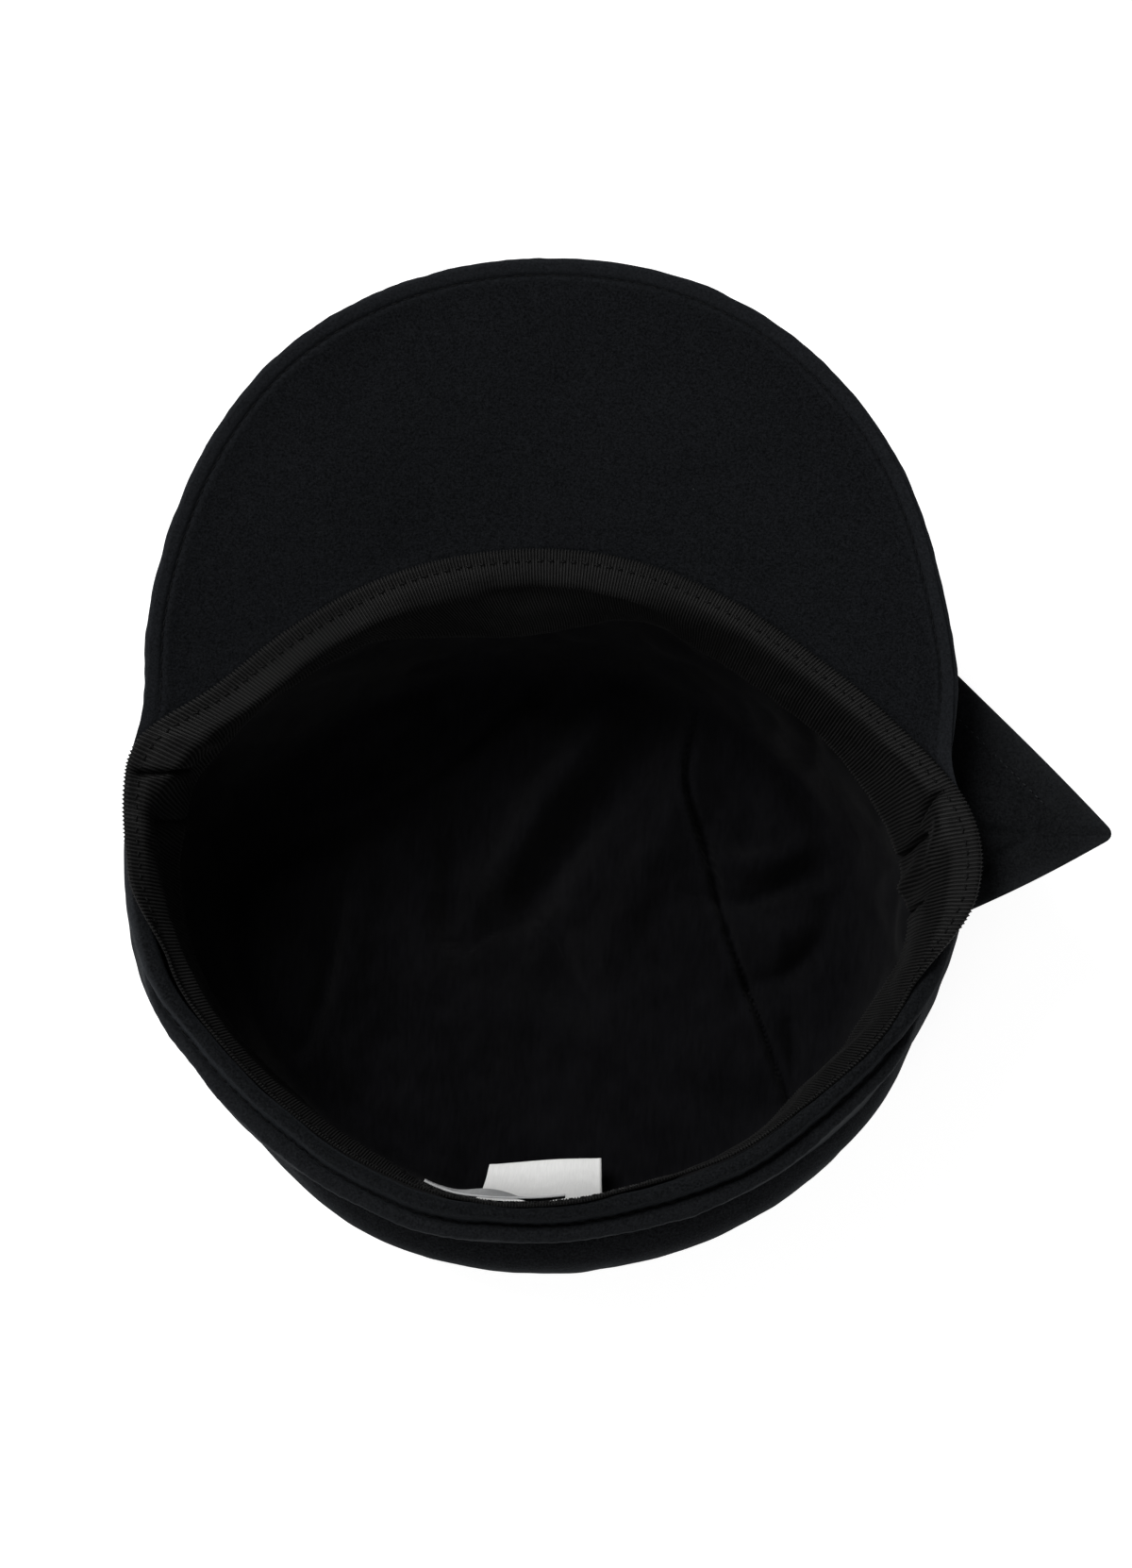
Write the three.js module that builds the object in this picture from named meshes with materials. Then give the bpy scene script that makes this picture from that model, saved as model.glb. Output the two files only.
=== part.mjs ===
// Work cap lying on its crown, opening up, peak toward +Y, bow end toward +X.
// Millimetres, +Z up. The origin is the middle of the crown top's flat outer
// face, which is the face that the cap rests on.
import * as THREE from 'three';

// ---- driving dimensions -------------------------------------------------
const RIM_HEIGHT = 80.0;        // rim above the resting face, on the centre line
const RIM_SLOPE = 0.045;        // the rim stands higher at the peak than at the back
const BAND_DEPTH = 33.0;        // rim to lower edge of the headband
const BAND_WALL = 3.0;          // doubled wool
const ROLL_WIDTH = 5.6;         // turned rim of the headband
const ROLL_GROOVE = 6.6;        // rim to the stitched groove under the roll
const CROWN_WALL = 2.2;         // single wool
const CROWN_TUCK = 6.5;         // crown wall tucked up behind the headband
const TOP_THICKNESS = 2.4;      // crown top panel
const SWEAT_WALL = 1.1;         // grosgrain ribbon
const SWEAT_DEPTH = 26.0;       // rim to the free edge of the sweatband
const LINING_WALL = 1.0;        // cotton
const LINING_FLOOR = 8.6;       // mean height of the lining over the crown top
const PEAK_THICKNESS = 4.0;     // two layers of wool over a stiffener
const PEAK_PITCH = 22;          // degrees the peak climbs away from the rim
const PEAK_FROM = 17, PEAK_TO = 165.5;   // degrees round the head
const BOW_HEIGHT = 70.0;        // upper face of the bow end at its root
const BOW_TIP_RISE = 3.0;
const BOW_THICKNESS = 3.0;
const GAP = 0.4;                // clearance between neighbouring pieces
const STEPS = 60;               // sections round the head

// ---- sections round the head -------------------------------------------
// One row every 15 degrees, anticlockwise from +X. Radii from the origin:
// rim = outside of the turned rim, edge = lower edge of the headband,
// bulge = widest line of the crown wall, top = crown seam,
// sweat = free edge of the sweatband, floor = foot of the lining.
// bendIn/bendDown = where the sweatband bends, in from and down from the rim.
const SECTION_COLUMNS = ['rim', 'edge', 'bulge', 'top', 'sweat', 'floor', 'bendIn', 'bendDown'];
const SECTIONS = [
  [103.0, 103.8, 103.0, 88.0, 92.0, 82.5, 8.5, 10],
  [104.6, 105.4, 104.0, 87.5, 89.5, 81.5, 8.5, 10],
  [ 95.7,  97.0,  98.0, 84.5, 85.0, 79.0, 7.2,  9],
  [ 88.8,  89.8,  92.0, 81.0, 79.5, 75.5, 7.0,  9],
  [ 86.0,  86.8,  89.0, 78.0, 77.6, 72.5, 7.2,  9],
  [ 85.3,  86.0,  88.0, 76.3, 77.2, 70.8, 9.2,  5],
  [ 85.2,  86.0,  88.0, 75.8, 71.8, 70.3, 8.5,  4],
  [ 85.9,  86.6,  88.5, 76.3, 70.2, 70.8, 8.6,  4],
  [ 87.7,  88.4,  90.0, 78.0, 75.8, 72.5, 9.0,  4],
  [ 90.3,  91.2,  93.0, 81.0, 81.2, 75.5, 9.2,  4.5],
  [ 95.2,  96.2,  97.5, 84.5, 86.4, 79.0, 9.6,  5],
  [105.6, 106.2, 102.5, 87.5, 92.5, 82.0, 9.2,  6],
  [104.7, 105.8, 103.0, 88.0, 93.0, 82.5, 9.0,  7],
  [100.6, 102.6, 101.0, 86.5, 88.0, 80.5, 10.4, 7],
  [ 93.5,  96.0,  95.4, 83.5, 82.6, 77.5, 9.4,  7],
  [ 88.6,  92.0,  92.2, 81.0, 77.6, 75.0, 9.8,  7],
  [ 86.0,  88.1,  93.0, 79.0, 75.4, 72.5, 9.6,  8],
  [ 84.7,  86.8,  92.5, 77.0, 76.6, 71.0, 7.2, 12],
  [ 82.7,  84.5,  90.5, 76.0, 75.6, 70.5, 7.0, 12],
  [ 81.9,  83.8,  90.4, 76.0, 74.4, 70.5, 7.0, 12],
  [ 83.1,  86.0,  91.9, 78.0, 75.6, 72.0, 7.2, 12],
  [ 86.2,  89.4,  94.3, 81.0, 78.0, 75.0, 7.6, 12],
  [ 90.8,  94.4,  97.7, 84.5, 79.8, 78.0, 8.3, 12],
  [ 97.7,  98.9,  99.8, 87.0, 85.5, 81.0, 8.6, 11],
];

// Reach of the peak past the rim, a row every 10 degrees from 10 to 170.
const PEAK_REACH = [0.5, 2.8, 18.1, 31.3, 44.6, 54.8, 62.2, 66.5, 67.6, 66.8, 63.7, 57.7, 48.0, 35.8, 22.4, 6.0, 0.2];

// Shoulder of the band below the groove, out from the rim: a row every 15 degrees from 180 to 360.
const BAND_STEP = [0, 1.9, 2.8, 3.9, 3.3, 3.1, 3.2, 3.4, 3.0, 2.0, 2.1, 1.3, 0];

// Folds in the lining's floor: from x0,y0 to x1,y1, width across, height (valleys below zero).
const FOLD_COLUMNS = ['x0', 'y0', 'x1', 'y1', 'width', 'height'];
const FOLDS = [
  [  -2,  72, -50,  29, 11, -3.2],   // long valley, front to left
  [ -50,  29, -78,  16, 11, -2.4],
  [  12,  60, -12,  16, 15,  3.4],   // ridge between the two valleys
  [  30,  68,   2,  18, 11, -3.2],   // broad valley, front to middle
  [  35,  62,  40,  26,  8,  1.8],   // seam running back across the floor
  [  40,  26,  65, -40,  8,  1.8],
  [  45,  13,  72,  19, 10,  2.2],   // cross fold at the right
  [  56,  -9,  74,  10, 10, -2.2],
  [ -56,   6, -58, -22, 10, -2.0],   // crease at the left
  [ -30, -10,  55, -36, 26,  1.6],   // broad swell toward the back
];

// ---- shape functions ----------------------------------------------------
const rad = (d) => (d * Math.PI) / 180;
const lerp = (a, b, t) => a + (b - a) * t;
const smooth = (a, b, x) => { const t = Math.min(1, Math.max(0, (x - a) / (b - a))); return t * t * (3 - 2 * t); };
const cubic = (p, q, r, s, t) =>
  0.5 * (2 * q + (r - p) * t + (2 * p - 5 * q + 4 * r - s) * t * t + (3 * q - p - 3 * r + s) * t ** 3);

function column(name, deg) {
  const k = SECTION_COLUMNS.indexOf(name), n = SECTIONS.length;
  const x = (((deg % 360) + 360) % 360) / (360 / n), i = Math.floor(x), t = x - i;
  const v = (j) => SECTIONS[(i + j + n) % n][k];
  return cubic(v(-1), v(0), v(1), v(2), t);
}
const rimZ = (deg) => RIM_HEIGHT + RIM_SLOPE * column('rim', deg) * Math.sin(rad(deg));

function reach(deg) {
  const x = (deg - 10) / 10, i = Math.min(PEAK_REACH.length - 2, Math.max(0, Math.floor(x))), t = x - i;
  const v = (j) => PEAK_REACH[Math.min(PEAK_REACH.length - 1, Math.max(0, i + j))];
  return Math.max(1.3, cubic(v(-1), v(0), v(1), v(2), t));
}

// How far a section lies inside the peak's span: first the turned rim drops
// under the sweatband, then the sweatband moves out over it.
const turn = (deg) => (deg > 270 ? deg - 360 : deg);
const rimDrop = (deg) => smooth(-16, -5, turn(deg)) * (1 - smooth(176, 190, turn(deg)));
const overRim = (deg) => smooth(-12, 3, turn(deg)) * (1 - smooth(168, 184, turn(deg)));
const bell = (x, centre, width) => Math.exp(-2 * ((x - centre) / width) ** 2);

// At the right back the turned rim and the sweatband lie further in; at the
// back the groove opens upward, as the band's shoulder stands out past the rim.
const rimShift = (deg) => -3.6 * bell(turn(deg), -31, 27);
const atBack = (deg) => smooth(188, 202, deg) * (1 - smooth(344, 354, deg));
function bandStep(deg) {
  const x = Math.min(11.999, Math.max(0, (deg - 180) / 15)), i = Math.floor(x);
  return lerp(BAND_STEP[i], BAND_STEP[i + 1], x - i) * atBack(deg);
}

// The sewn edge of the ribbon spills over the rim at the peak's two corners.
function flare(deg) {
  const right = 3.0 * bell(turn(deg), 7, 14), left = 2.3 * bell(turn(deg), 163.5, 9);
  return [right + left, 0.3 * right + 0.55 * left];
}
const ribbonDrop = (deg) => SWEAT_DEPTH - 6.5 * smooth(60, 82, deg) * (1 - smooth(108, 135, deg));

function foldHeight(x, y) {
  let h = 0;
  for (const row of FOLDS) {
    const f = Object.fromEntries(FOLD_COLUMNS.map((c, i) => [c, row[i]]));
    const dx = f.x1 - f.x0, dy = f.y1 - f.y0, t = Math.min(1, Math.max(0, ((x - f.x0) * dx + (y - f.y0) * dy) / (dx * dx + dy * dy)));
    const d = Math.hypot(x - f.x0 - t * dx, y - f.y0 - t * dy) / f.width;
    h += f.height * Math.exp(-2 * d * d);
  }
  return Math.max(h, TOP_THICKNESS + LINING_WALL / 2 + 1.1 - LINING_FLOOR);
}

// ---- closed solids ------------------------------------------------------
function solid(positions, faces) {
  let volume = 0;
  const a = new THREE.Vector3(), b = new THREE.Vector3(), c = new THREE.Vector3();
  for (const [i, j, k] of faces) {
    volume += a.fromArray(positions[i]).dot(b.fromArray(positions[j]).cross(c.fromArray(positions[k])));
  }
  const index = [];
  for (const [i, j, k] of faces) index.push(...(volume > 0 ? [i, j, k] : [i, k, j]));
  const g = new THREE.BufferGeometry();
  g.setAttribute('position', new THREE.Float32BufferAttribute(positions.flat(), 3));
  g.setIndex(index);
  g.computeVertexNormals();
  return g;
}

// A closed section of [radius, height] points carried right round the head.
function ring(section, steps = STEPS) {
  const pos = [], faces = [];
  let m = 0;
  for (let s = 0; s < steps; s++) {
    const deg = (360 * s) / steps, pts = section(deg);
    m = pts.length;
    for (const [r, z] of pts) pos.push([r * Math.cos(rad(deg)), r * Math.sin(rad(deg)), z]);
  }
  for (let s = 0; s < steps; s++) for (let j = 0; j < m; j++) {
    const n = (s + 1) % steps, k = (j + 1) % m;
    const A = s * m + j, B = n * m + j, C = n * m + k, D = s * m + k;
    faces.push([A, B, C], [A, C, D]);
  }
  return solid(pos, faces);
}

// A bowl or disc: the profile starts and ends on the axis.
function bowl(section, steps = STEPS) {
  const pos = [], faces = [];
  const first = section(0);
  const m = first.length - 2;
  pos.push([0, 0, first[0][1]], [0, 0, first[first.length - 1][1]]);
  for (let s = 0; s < steps; s++) {
    const deg = (360 * s) / steps;
    for (const [r, z] of section(deg).slice(1, -1)) pos.push([r * Math.cos(rad(deg)), r * Math.sin(rad(deg)), z]);
  }
  const at = (s, j) => 2 + (s % steps) * m + j;
  for (let s = 0; s < steps; s++) {
    faces.push([0, at(s + 1, 0), at(s, 0)]);
    for (let j = 0; j < m - 1; j++) faces.push([at(s, j), at(s + 1, j), at(s + 1, j + 1)], [at(s, j), at(s + 1, j + 1), at(s, j + 1)]);
    faces.push([1, at(s, m - 1), at(s + 1, m - 1)]);
  }
  return solid(pos, faces);
}

// A wall of even thickness along a mid line of [radius, height] points.
function wall(mid, thickness) {
  const left = [], right = [];
  mid.forEach((p, i) => {
    const a = mid[Math.max(0, i - 1)], b = mid[Math.min(mid.length - 1, i + 1)];
    const dx = b[0] - a[0], dz = b[1] - a[1], l = Math.hypot(dx, dz);
    left.push([p[0] - (dz / l) * thickness / 2, p[1] + (dx / l) * thickness / 2]);
    right.push([p[0] + (dz / l) * thickness / 2, p[1] - (dx / l) * thickness / 2]);
  });
  return [...left, ...right.reverse()];
}

// A strip of closed sections, capped at both ends.
function strip(sections) {
  const m = sections[0].length, pos = sections.flat(), faces = [];
  for (let s = 0; s < sections.length - 1; s++) for (let j = 0; j < m; j++) {
    const k = (j + 1) % m, A = s * m + j, B = (s + 1) * m + j, C = (s + 1) * m + k, D = s * m + k;
    faces.push([A, B, C], [A, C, D]);
  }
  // each end is closed by a ladder of faces between the section's two sides
  for (const [s, flip] of [[0, false], [sections.length - 1, true]]) {
    for (let j = 0; j < m / 2 - 1; j++) {
      const [a, b, c, d] = [j, j + 1, m - 2 - j, m - 1 - j].map((k) => s * m + k);
      faces.push(...(flip ? [[a, c, b], [a, d, c]] : [[a, b, c], [a, c, d]]));
    }
  }
  return solid(pos, faces);
}

// ---- headband: turned rim, stitched groove, plain band -----------------
function bandOuter(deg, down) {            // outside of the band below the groove
  const R = column('rim', deg), E = column('edge', deg);
  const step = bandStep(deg) + 0.4 * atBack(deg);
  return lerp(R - 0.4 + step, E + 0.3, smooth(9, 22, down)) - 0.5 * smooth(26, 33, down);
}
const headband = ring((deg) => {
  const R = column('rim', deg), zr = rimZ(deg), zt = zr - 3.6 * rimDrop(deg), w = ROLL_WIDTH;
  const E = column('edge', deg), low = zr - BAND_DEPTH, r = R + rimShift(deg), k = atBack(deg);
  return [
    [r - w / 2, zt], [r - 0.8 - k * 0.6, zt - 0.8], [r - k * 0.8, zt - 2.9], [r - 0.7 - k * 0.4, zt - 5.2],
    [lerp(R - 1.6, R + bandStep(deg) - 1.2, k), zt - lerp(ROLL_GROOVE, 5.0, k)], [bandOuter(deg, 9.6), lerp(zr - 10.4, zr - 7.6, k)], [bandOuter(deg, 22), zr - 22],
    [E, low + 1.6], [E - 0.8, low], [E - BAND_WALL + 0.6, low], [E - BAND_WALL, low + 1.6],
    [bandOuter(deg, 22) - BAND_WALL, zr - 22], [bandOuter(deg, 9.6) - BAND_WALL, zr - 10.4],
    [r - 4.2, zt - ROLL_GROOVE - k * 1.2], [r - w, zt - 4.0], [r - w + 0.3, zt - 1.6],
  ];
});

// ---- crown wall and crown top -------------------------------------------
const crownSide = ring((deg) => {
  const E = column('edge', deg), B = column('bulge', deg), T = column('top', deg);
  const zr = rimZ(deg), h = zr - BAND_DEPTH - GAP, inner = E - BAND_WALL - GAP - CROWN_WALL / 2;
  const mid = [
    [inner - 0.3, h + CROWN_TUCK], [inner, h - 0.3], [lerp(inner, B, 0.5), h * 0.91],
    [B - 0.7 - CROWN_WALL / 2, h * 0.83], [B - CROWN_WALL / 2, h * 0.70], [B - 1.6 - CROWN_WALL / 2, h * 0.48],
    [lerp(T, B, 0.46), h * 0.25], [T - 0.4, h * 0.09], [T - 2.0, 1.5],
  ];
  return wall(mid, CROWN_WALL);
});
const crownTop = bowl((deg) => {
  const T = column('top', deg) - 3.2 - CROWN_WALL / 2;
  return [[0, 0], [T - 1.2, 0], [T, 0.8], [T - 0.2, TOP_THICKNESS], [0, TOP_THICKNESS]];
});

// ---- lining ---------------------------------------------------------------
const LINING_RINGS = [0.16, 0.32, 0.46, 0.60, 0.73, 0.86];
const lining = bowl((deg) => {
  const R = column('rim', deg), E = column('edge', deg), F = column('floor', deg), zr = rimZ(deg);
  const c = Math.cos(rad(deg)), s = Math.sin(rad(deg));
  const mid = [[0, LINING_FLOOR + foldHeight(0, 0)]];
  for (const t of LINING_RINGS) mid.push([F * t, LINING_FLOOR + foldHeight(F * t * c, F * t * s)]);
  mid.push([F * 0.97, LINING_FLOOR + 1.2], [F + 1.4, LINING_FLOOR + 6], [lerp(F + 2, E - 6.6, 0.6), 32],
    [E - 6.6, zr - 27.5], [R - 4.75, zr - 12.5]);
  const both = wall(mid, LINING_WALL);
  both[0][0] = 0; both[both.length - 1][0] = 0;
  both[0][1] = mid[0][1] + LINING_WALL / 2; both[both.length - 1][1] = mid[0][1] - LINING_WALL / 2;
  return both;
});

// ---- sweatband ------------------------------------------------------------
function sweatMid(deg) {
  const R = column('rim', deg), S = column('sweat', deg), zr = rimZ(deg), f = overRim(deg);
  const bi = Math.max(column('bendIn', deg), 6.8), bd = Math.max(column('bendDown', deg), 3.4);
  const [out, up] = flare(deg), r = R + rimShift(deg), bend = R - bi + 0.5 * rimShift(deg), low = ribbonDrop(deg);
  return [
    [r - 6.5 + 6.6 * f + out, zr - 1.8 + 2.8 * f + up],
    [r - 6.6 + 0.9 * f + 0.5 * out, zr - 4.6 + 4.0 * f + 0.8 * up],
    [bend, zr - bd],
    [lerp(bend, S, 0.5), zr - lerp(bd, low, 0.5)],
    [S, zr - low],
  ];
}
const sweatband = ring((deg) => wall(sweatMid(deg), SWEAT_WALL));

// ---- peak -------------------------------------------------------------------
function peakPoint(deg, out, down) {
  const r = column('rim', deg) + GAP + out, z = rimZ(deg) + out * Math.tan(rad(PEAK_PITCH)) - down;
  return [r * Math.cos(rad(deg)), r * Math.sin(rad(deg)), z];
}
const peakSections = [];
for (let i = 0; i <= 44; i++) {
  const deg = lerp(PEAK_FROM, PEAK_TO, i / 44), w = reach(deg), t = PEAK_THICKNESS;
  peakSections.push([
    peakPoint(deg, 0, 0), peakPoint(deg, w * 0.5, -0.2), peakPoint(deg, w - 0.9, 0.1), peakPoint(deg, w - 0.1, t * 0.3),
    peakPoint(deg, w - 0.1, t * 0.7), peakPoint(deg, w - 0.9, t - 0.1), peakPoint(deg, w * 0.5, t - 0.2), peakPoint(deg, 0, t),
  ]);
}
const peak = strip(peakSections);

// ---- bow end: a folded wool point that stands out from under the peak's corner
const BOW_ROOT = [3, 8, 13, 18, 23, 28, 33];       // degrees along the headband
const BOW_TIP = [140.4, 24.0], BOW_SHOULDER = [98.6, 65.0], BOW_LOWER = [105.6, 3.2];
const bowZ = (x) => BOW_HEIGHT + BOW_TIP_RISE * smooth(100, 140, x);
function bowSections() {
  const outer = [], n = BOW_ROOT.length;
  for (let i = 0; i < n; i++) {            // far edge: lower side, tip, upper side, shoulder
    const t = i / (n - 1);
    const p = t < 0.5 ? [lerp(BOW_LOWER[0], BOW_TIP[0], t / 0.5), lerp(BOW_LOWER[1], BOW_TIP[1], t / 0.5)]
      : [lerp(BOW_TIP[0], BOW_SHOULDER[0], (t - 0.5) / 0.5), lerp(BOW_TIP[1], BOW_SHOULDER[1], (t - 0.5) / 0.5)];
    outer.push(p);
  }
  return BOW_ROOT.map((deg, i) => {
    const r = Math.max(column('rim', deg), bandOuter(deg, 14)) + 0.6;
    const a = [r * Math.cos(rad(deg)), r * Math.sin(rad(deg))], b = outer[i];
    const at = (t, dz) => { const x = lerp(a[0], b[0], t), y = lerp(a[1], b[1], t); return [x, y, bowZ(x) - dz]; };
    return [at(0, 0), at(0.5, 0), at(0.97, 0), at(1, 0.8), at(1, BOW_THICKNESS - 0.8), at(0.97, BOW_THICKNESS), at(0.5, BOW_THICKNESS), at(0, BOW_THICKNESS)];
  });
}
const bowEnd = strip(bowSections());

// ---- labels -----------------------------------------------------------------
function ribbonLabel(path, width, thickness, along) {
  // path: [radius, height] points of the mid line; along: degree of the centre
  const u = [Math.cos(rad(along)), Math.sin(rad(along))], t = [-u[1], u[0]];
  const loop = wall(path, thickness);
  return strip([-1, -0.33, 0.33, 1].map((k) => loop.map(([r, z]) => [u[0] * r + t[0] * k * width / 2, u[1] * r + t[1] * k * width / 2, z])));
}
const CARE_PATH = [[73.6, 48.0], [72.4, 41], [70.6, 33], [68.0, 26], [64.8, 21.5], [61.2, 19.0]];
const careLabel = ribbonLabel(CARE_PATH, 29, 0.8, 273.5);

const WOVEN = { from: 248, to: 274, top: 6.5, bottom: 22, thickness: 0.8 };
const wovenLabel = strip([0, 0.25, 0.5, 0.75, 1].map((k) => {
  const deg = lerp(WOVEN.from, WOVEN.to, k), m = sweatMid(deg), zr = rimZ(deg);
  const face = Math.min(...m.slice(1).map((p) => p[0])) - SWEAT_WALL / 2 - 0.35;
  return [[face, zr - WOVEN.top], [face, zr - WOVEN.bottom], [face - WOVEN.thickness, zr - WOVEN.bottom], [face - WOVEN.thickness, zr - WOVEN.top]]
    .map(([r, z]) => [r * Math.cos(rad(deg)), r * Math.sin(rad(deg)), z]);
}));

// ---- scene graph --------------------------------------------------------
const cap = new THREE.Group();
function add(name, geometry, color, roughness) {
  const mesh = new THREE.Mesh(geometry, new THREE.MeshStandardMaterial({ color, roughness, metalness: 0 }));
  mesh.name = name;
  cap.add(mesh);
}
add('crown_top', crownTop, 0x1b1d21, 0.95);
add('crown_side', crownSide, 0x1b1d21, 0.95);
add('headband', headband, 0x1d2024, 0.95);
add('visor', peak, 0x1c1f24, 0.95);
add('sweatband', sweatband, 0x1d1d1f, 0.6);
add('lining', lining, 0x111114, 0.8);
add('side_bow_end', bowEnd, 0x1b1c1f, 0.95);
add('care_label', careLabel, 0xf2f2f0, 0.45);
add('woven_label', wovenLabel, 0xa9aaab, 0.6);

export default cap;
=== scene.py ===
# Looks of the work cap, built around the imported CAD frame. Shapes are worked out
# in millimetres from the same section table as the CAD part and written in metres.
import math

import bpy
import numpy as np
from mathutils import Matrix


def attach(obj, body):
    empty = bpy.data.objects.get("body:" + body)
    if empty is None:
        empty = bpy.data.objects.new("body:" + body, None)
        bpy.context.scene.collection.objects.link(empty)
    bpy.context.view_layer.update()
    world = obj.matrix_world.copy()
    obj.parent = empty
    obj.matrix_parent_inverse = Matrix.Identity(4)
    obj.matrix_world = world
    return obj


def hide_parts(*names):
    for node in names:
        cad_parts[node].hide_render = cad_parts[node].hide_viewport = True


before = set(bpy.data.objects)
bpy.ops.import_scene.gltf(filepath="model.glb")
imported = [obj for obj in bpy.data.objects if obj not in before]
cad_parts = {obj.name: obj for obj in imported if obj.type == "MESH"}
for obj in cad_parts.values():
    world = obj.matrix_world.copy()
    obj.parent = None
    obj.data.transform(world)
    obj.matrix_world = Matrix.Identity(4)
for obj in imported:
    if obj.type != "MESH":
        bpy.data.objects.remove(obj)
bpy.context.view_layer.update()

MM = 0.001
TAU = 2 * math.pi

# ---- driving dimensions, mm ----------------------------------------------
RIM_HEIGHT, RIM_SLOPE = 80.0, 0.045
BAND_DEPTH, BAND_WALL = 33.0, 3.0
ROLL_WIDTH, ROLL_GROOVE = 5.6, 6.6
CROWN_WALL, CROWN_TUCK = 2.2, 6.5
TOP_THICKNESS = 2.4
SWEAT_WALL, SWEAT_DEPTH = 1.0, 26.0
LINING_WALL, LINING_FLOOR = 0.7, 8.6
PEAK_THICKNESS, PEAK_PITCH = 4.0, 22.0
PEAK_FROM, PEAK_TO = 17.0, 165.5
BOW_HEIGHT, BOW_TIP_RISE, BOW_THICKNESS = 70.0, 3.0, 3.0
GAP = 0.4
RIBS = 660                      # cross ribs round the sweatband

COLUMNS = ["rim", "edge", "bulge", "top", "sweat", "floor", "bend_in", "bend_down"]
SECTIONS = np.array([
    [103.0, 103.8, 103.0, 88.0, 92.0, 82.5, 8.5, 10],
    [104.6, 105.4, 104.0, 87.5, 89.5, 81.5, 8.5, 10],
    [95.7, 97.0, 98.0, 84.5, 85.0, 79.0, 7.2, 9],
    [88.8, 89.8, 92.0, 81.0, 79.5, 75.5, 7.0, 9],
    [86.0, 86.8, 89.0, 78.0, 77.6, 72.5, 7.2, 9],
    [85.3, 86.0, 88.0, 76.3, 77.2, 70.8, 9.2, 5],
    [85.2, 86.0, 88.0, 75.8, 71.8, 70.3, 8.5, 4],
    [85.9, 86.6, 88.5, 76.3, 70.2, 70.8, 8.6, 4],
    [87.7, 88.4, 90.0, 78.0, 75.8, 72.5, 9.0, 4],
    [90.3, 91.2, 93.0, 81.0, 81.2, 75.5, 9.2, 4.5],
    [95.2, 96.2, 97.5, 84.5, 86.4, 79.0, 9.6, 5],
    [105.6, 106.2, 102.5, 87.5, 92.5, 82.0, 9.2, 6],
    [104.7, 105.8, 103.0, 88.0, 93.0, 82.5, 9.0, 7],
    [100.6, 102.6, 101.0, 86.5, 88.0, 80.5, 10.4, 7],
    [93.5, 96.0, 95.4, 83.5, 82.6, 77.5, 9.4, 7],
    [88.6, 92.0, 92.2, 81.0, 77.6, 75.0, 9.8, 7],
    [86.0, 88.1, 93.0, 79.0, 75.4, 72.5, 9.6, 8],
    [84.7, 86.8, 92.5, 77.0, 76.6, 71.0, 7.2, 12],
    [82.7, 84.5, 90.5, 76.0, 75.6, 70.5, 7.0, 12],
    [81.9, 83.8, 90.4, 76.0, 74.4, 70.5, 7.0, 12],
    [83.1, 86.0, 91.9, 78.0, 75.6, 72.0, 7.2, 12],
    [86.2, 89.4, 94.3, 81.0, 78.0, 75.0, 7.6, 12],
    [90.8, 94.4, 97.7, 84.5, 79.8, 78.0, 8.3, 12],
    [97.7, 98.9, 99.8, 87.0, 85.5, 81.0, 8.6, 11],
])
PEAK_REACH = np.array([0.5, 2.8, 18.1, 31.3, 44.6, 54.8, 62.2, 66.5, 67.6, 66.8, 63.7, 57.7, 48.0, 35.8, 22.4, 6.0, 0.2])
# Shoulder of the band below the groove, out from the rim: a row every 15 degrees from 180 to 360.
BAND_STEP = np.array([0, 1.9, 2.8, 3.9, 3.3, 3.1, 3.2, 3.5, 4.2, 3.8, 2.7, 1.4, 0])


# ---- shape functions -------------------------------------------------------
def lerp(a, b, t):
    return a + (b - a) * t


def smooth(a, b, x):
    t = np.clip((np.asarray(x, float) - a) / (b - a), 0, 1)
    return t * t * (3 - 2 * t)


def bell(x, centre, width):
    return np.exp(-2 * ((np.asarray(x, float) - centre) / width) ** 2)


def cubic(p, q, r, s, t):
    return 0.5 * (2 * q + (r - p) * t + (2 * p - 5 * q + 4 * r - s) * t ** 2 + (3 * q - p - 3 * r + s) * t ** 3)


def col(name, deg):
    k, n = COLUMNS.index(name), len(SECTIONS)
    x = (np.asarray(deg, float) % 360) / (360 / n)
    i = np.floor(x).astype(int)
    v = lambda j: SECTIONS[(i + j) % n, k]
    return cubic(v(-1), v(0), v(1), v(2), x - i)


def rim_z(deg):
    return RIM_HEIGHT + RIM_SLOPE * col("rim", deg) * np.sin(np.radians(deg))


def reach(deg):
    x = (np.asarray(deg, float) - 10) / 10
    last = len(PEAK_REACH) - 1
    i = np.clip(np.floor(x).astype(int), 0, last - 1)
    v = lambda j: PEAK_REACH[np.clip(i + j, 0, last)]
    return np.maximum(1.3, cubic(v(-1), v(0), v(1), v(2), x - i))


def turn(deg):
    deg = np.asarray(deg, float) % 360
    return np.where(deg > 270, deg - 360, deg)


def rim_drop(deg):
    return smooth(-16, -5, turn(deg)) * (1 - smooth(182, 196, turn(deg)))


def over_rim(deg):
    return smooth(-12, 3, turn(deg)) * (1 - smooth(181, 194, turn(deg)))


def rim_shift(deg):
    """Small wander of the turned rim at the right back."""
    return 0.9 * bell(turn(deg), -50, 14) - 0.5 * bell(turn(deg), -22, 10)


def at_back(deg):
    """Where the groove opens upward, as the band's shoulder stands out past the rim."""
    return smooth(188, 202, deg) * (1 - smooth(336, 351, deg))


def band_step(deg):
    return np.interp(np.asarray(deg, float), 180 + 15.0 * np.arange(len(BAND_STEP)), BAND_STEP) * at_back(deg)


def ribbon_drop(deg):
    return SWEAT_DEPTH - 6.5 * smooth(60, 82, deg) * (1 - smooth(108, 135, deg))


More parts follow.
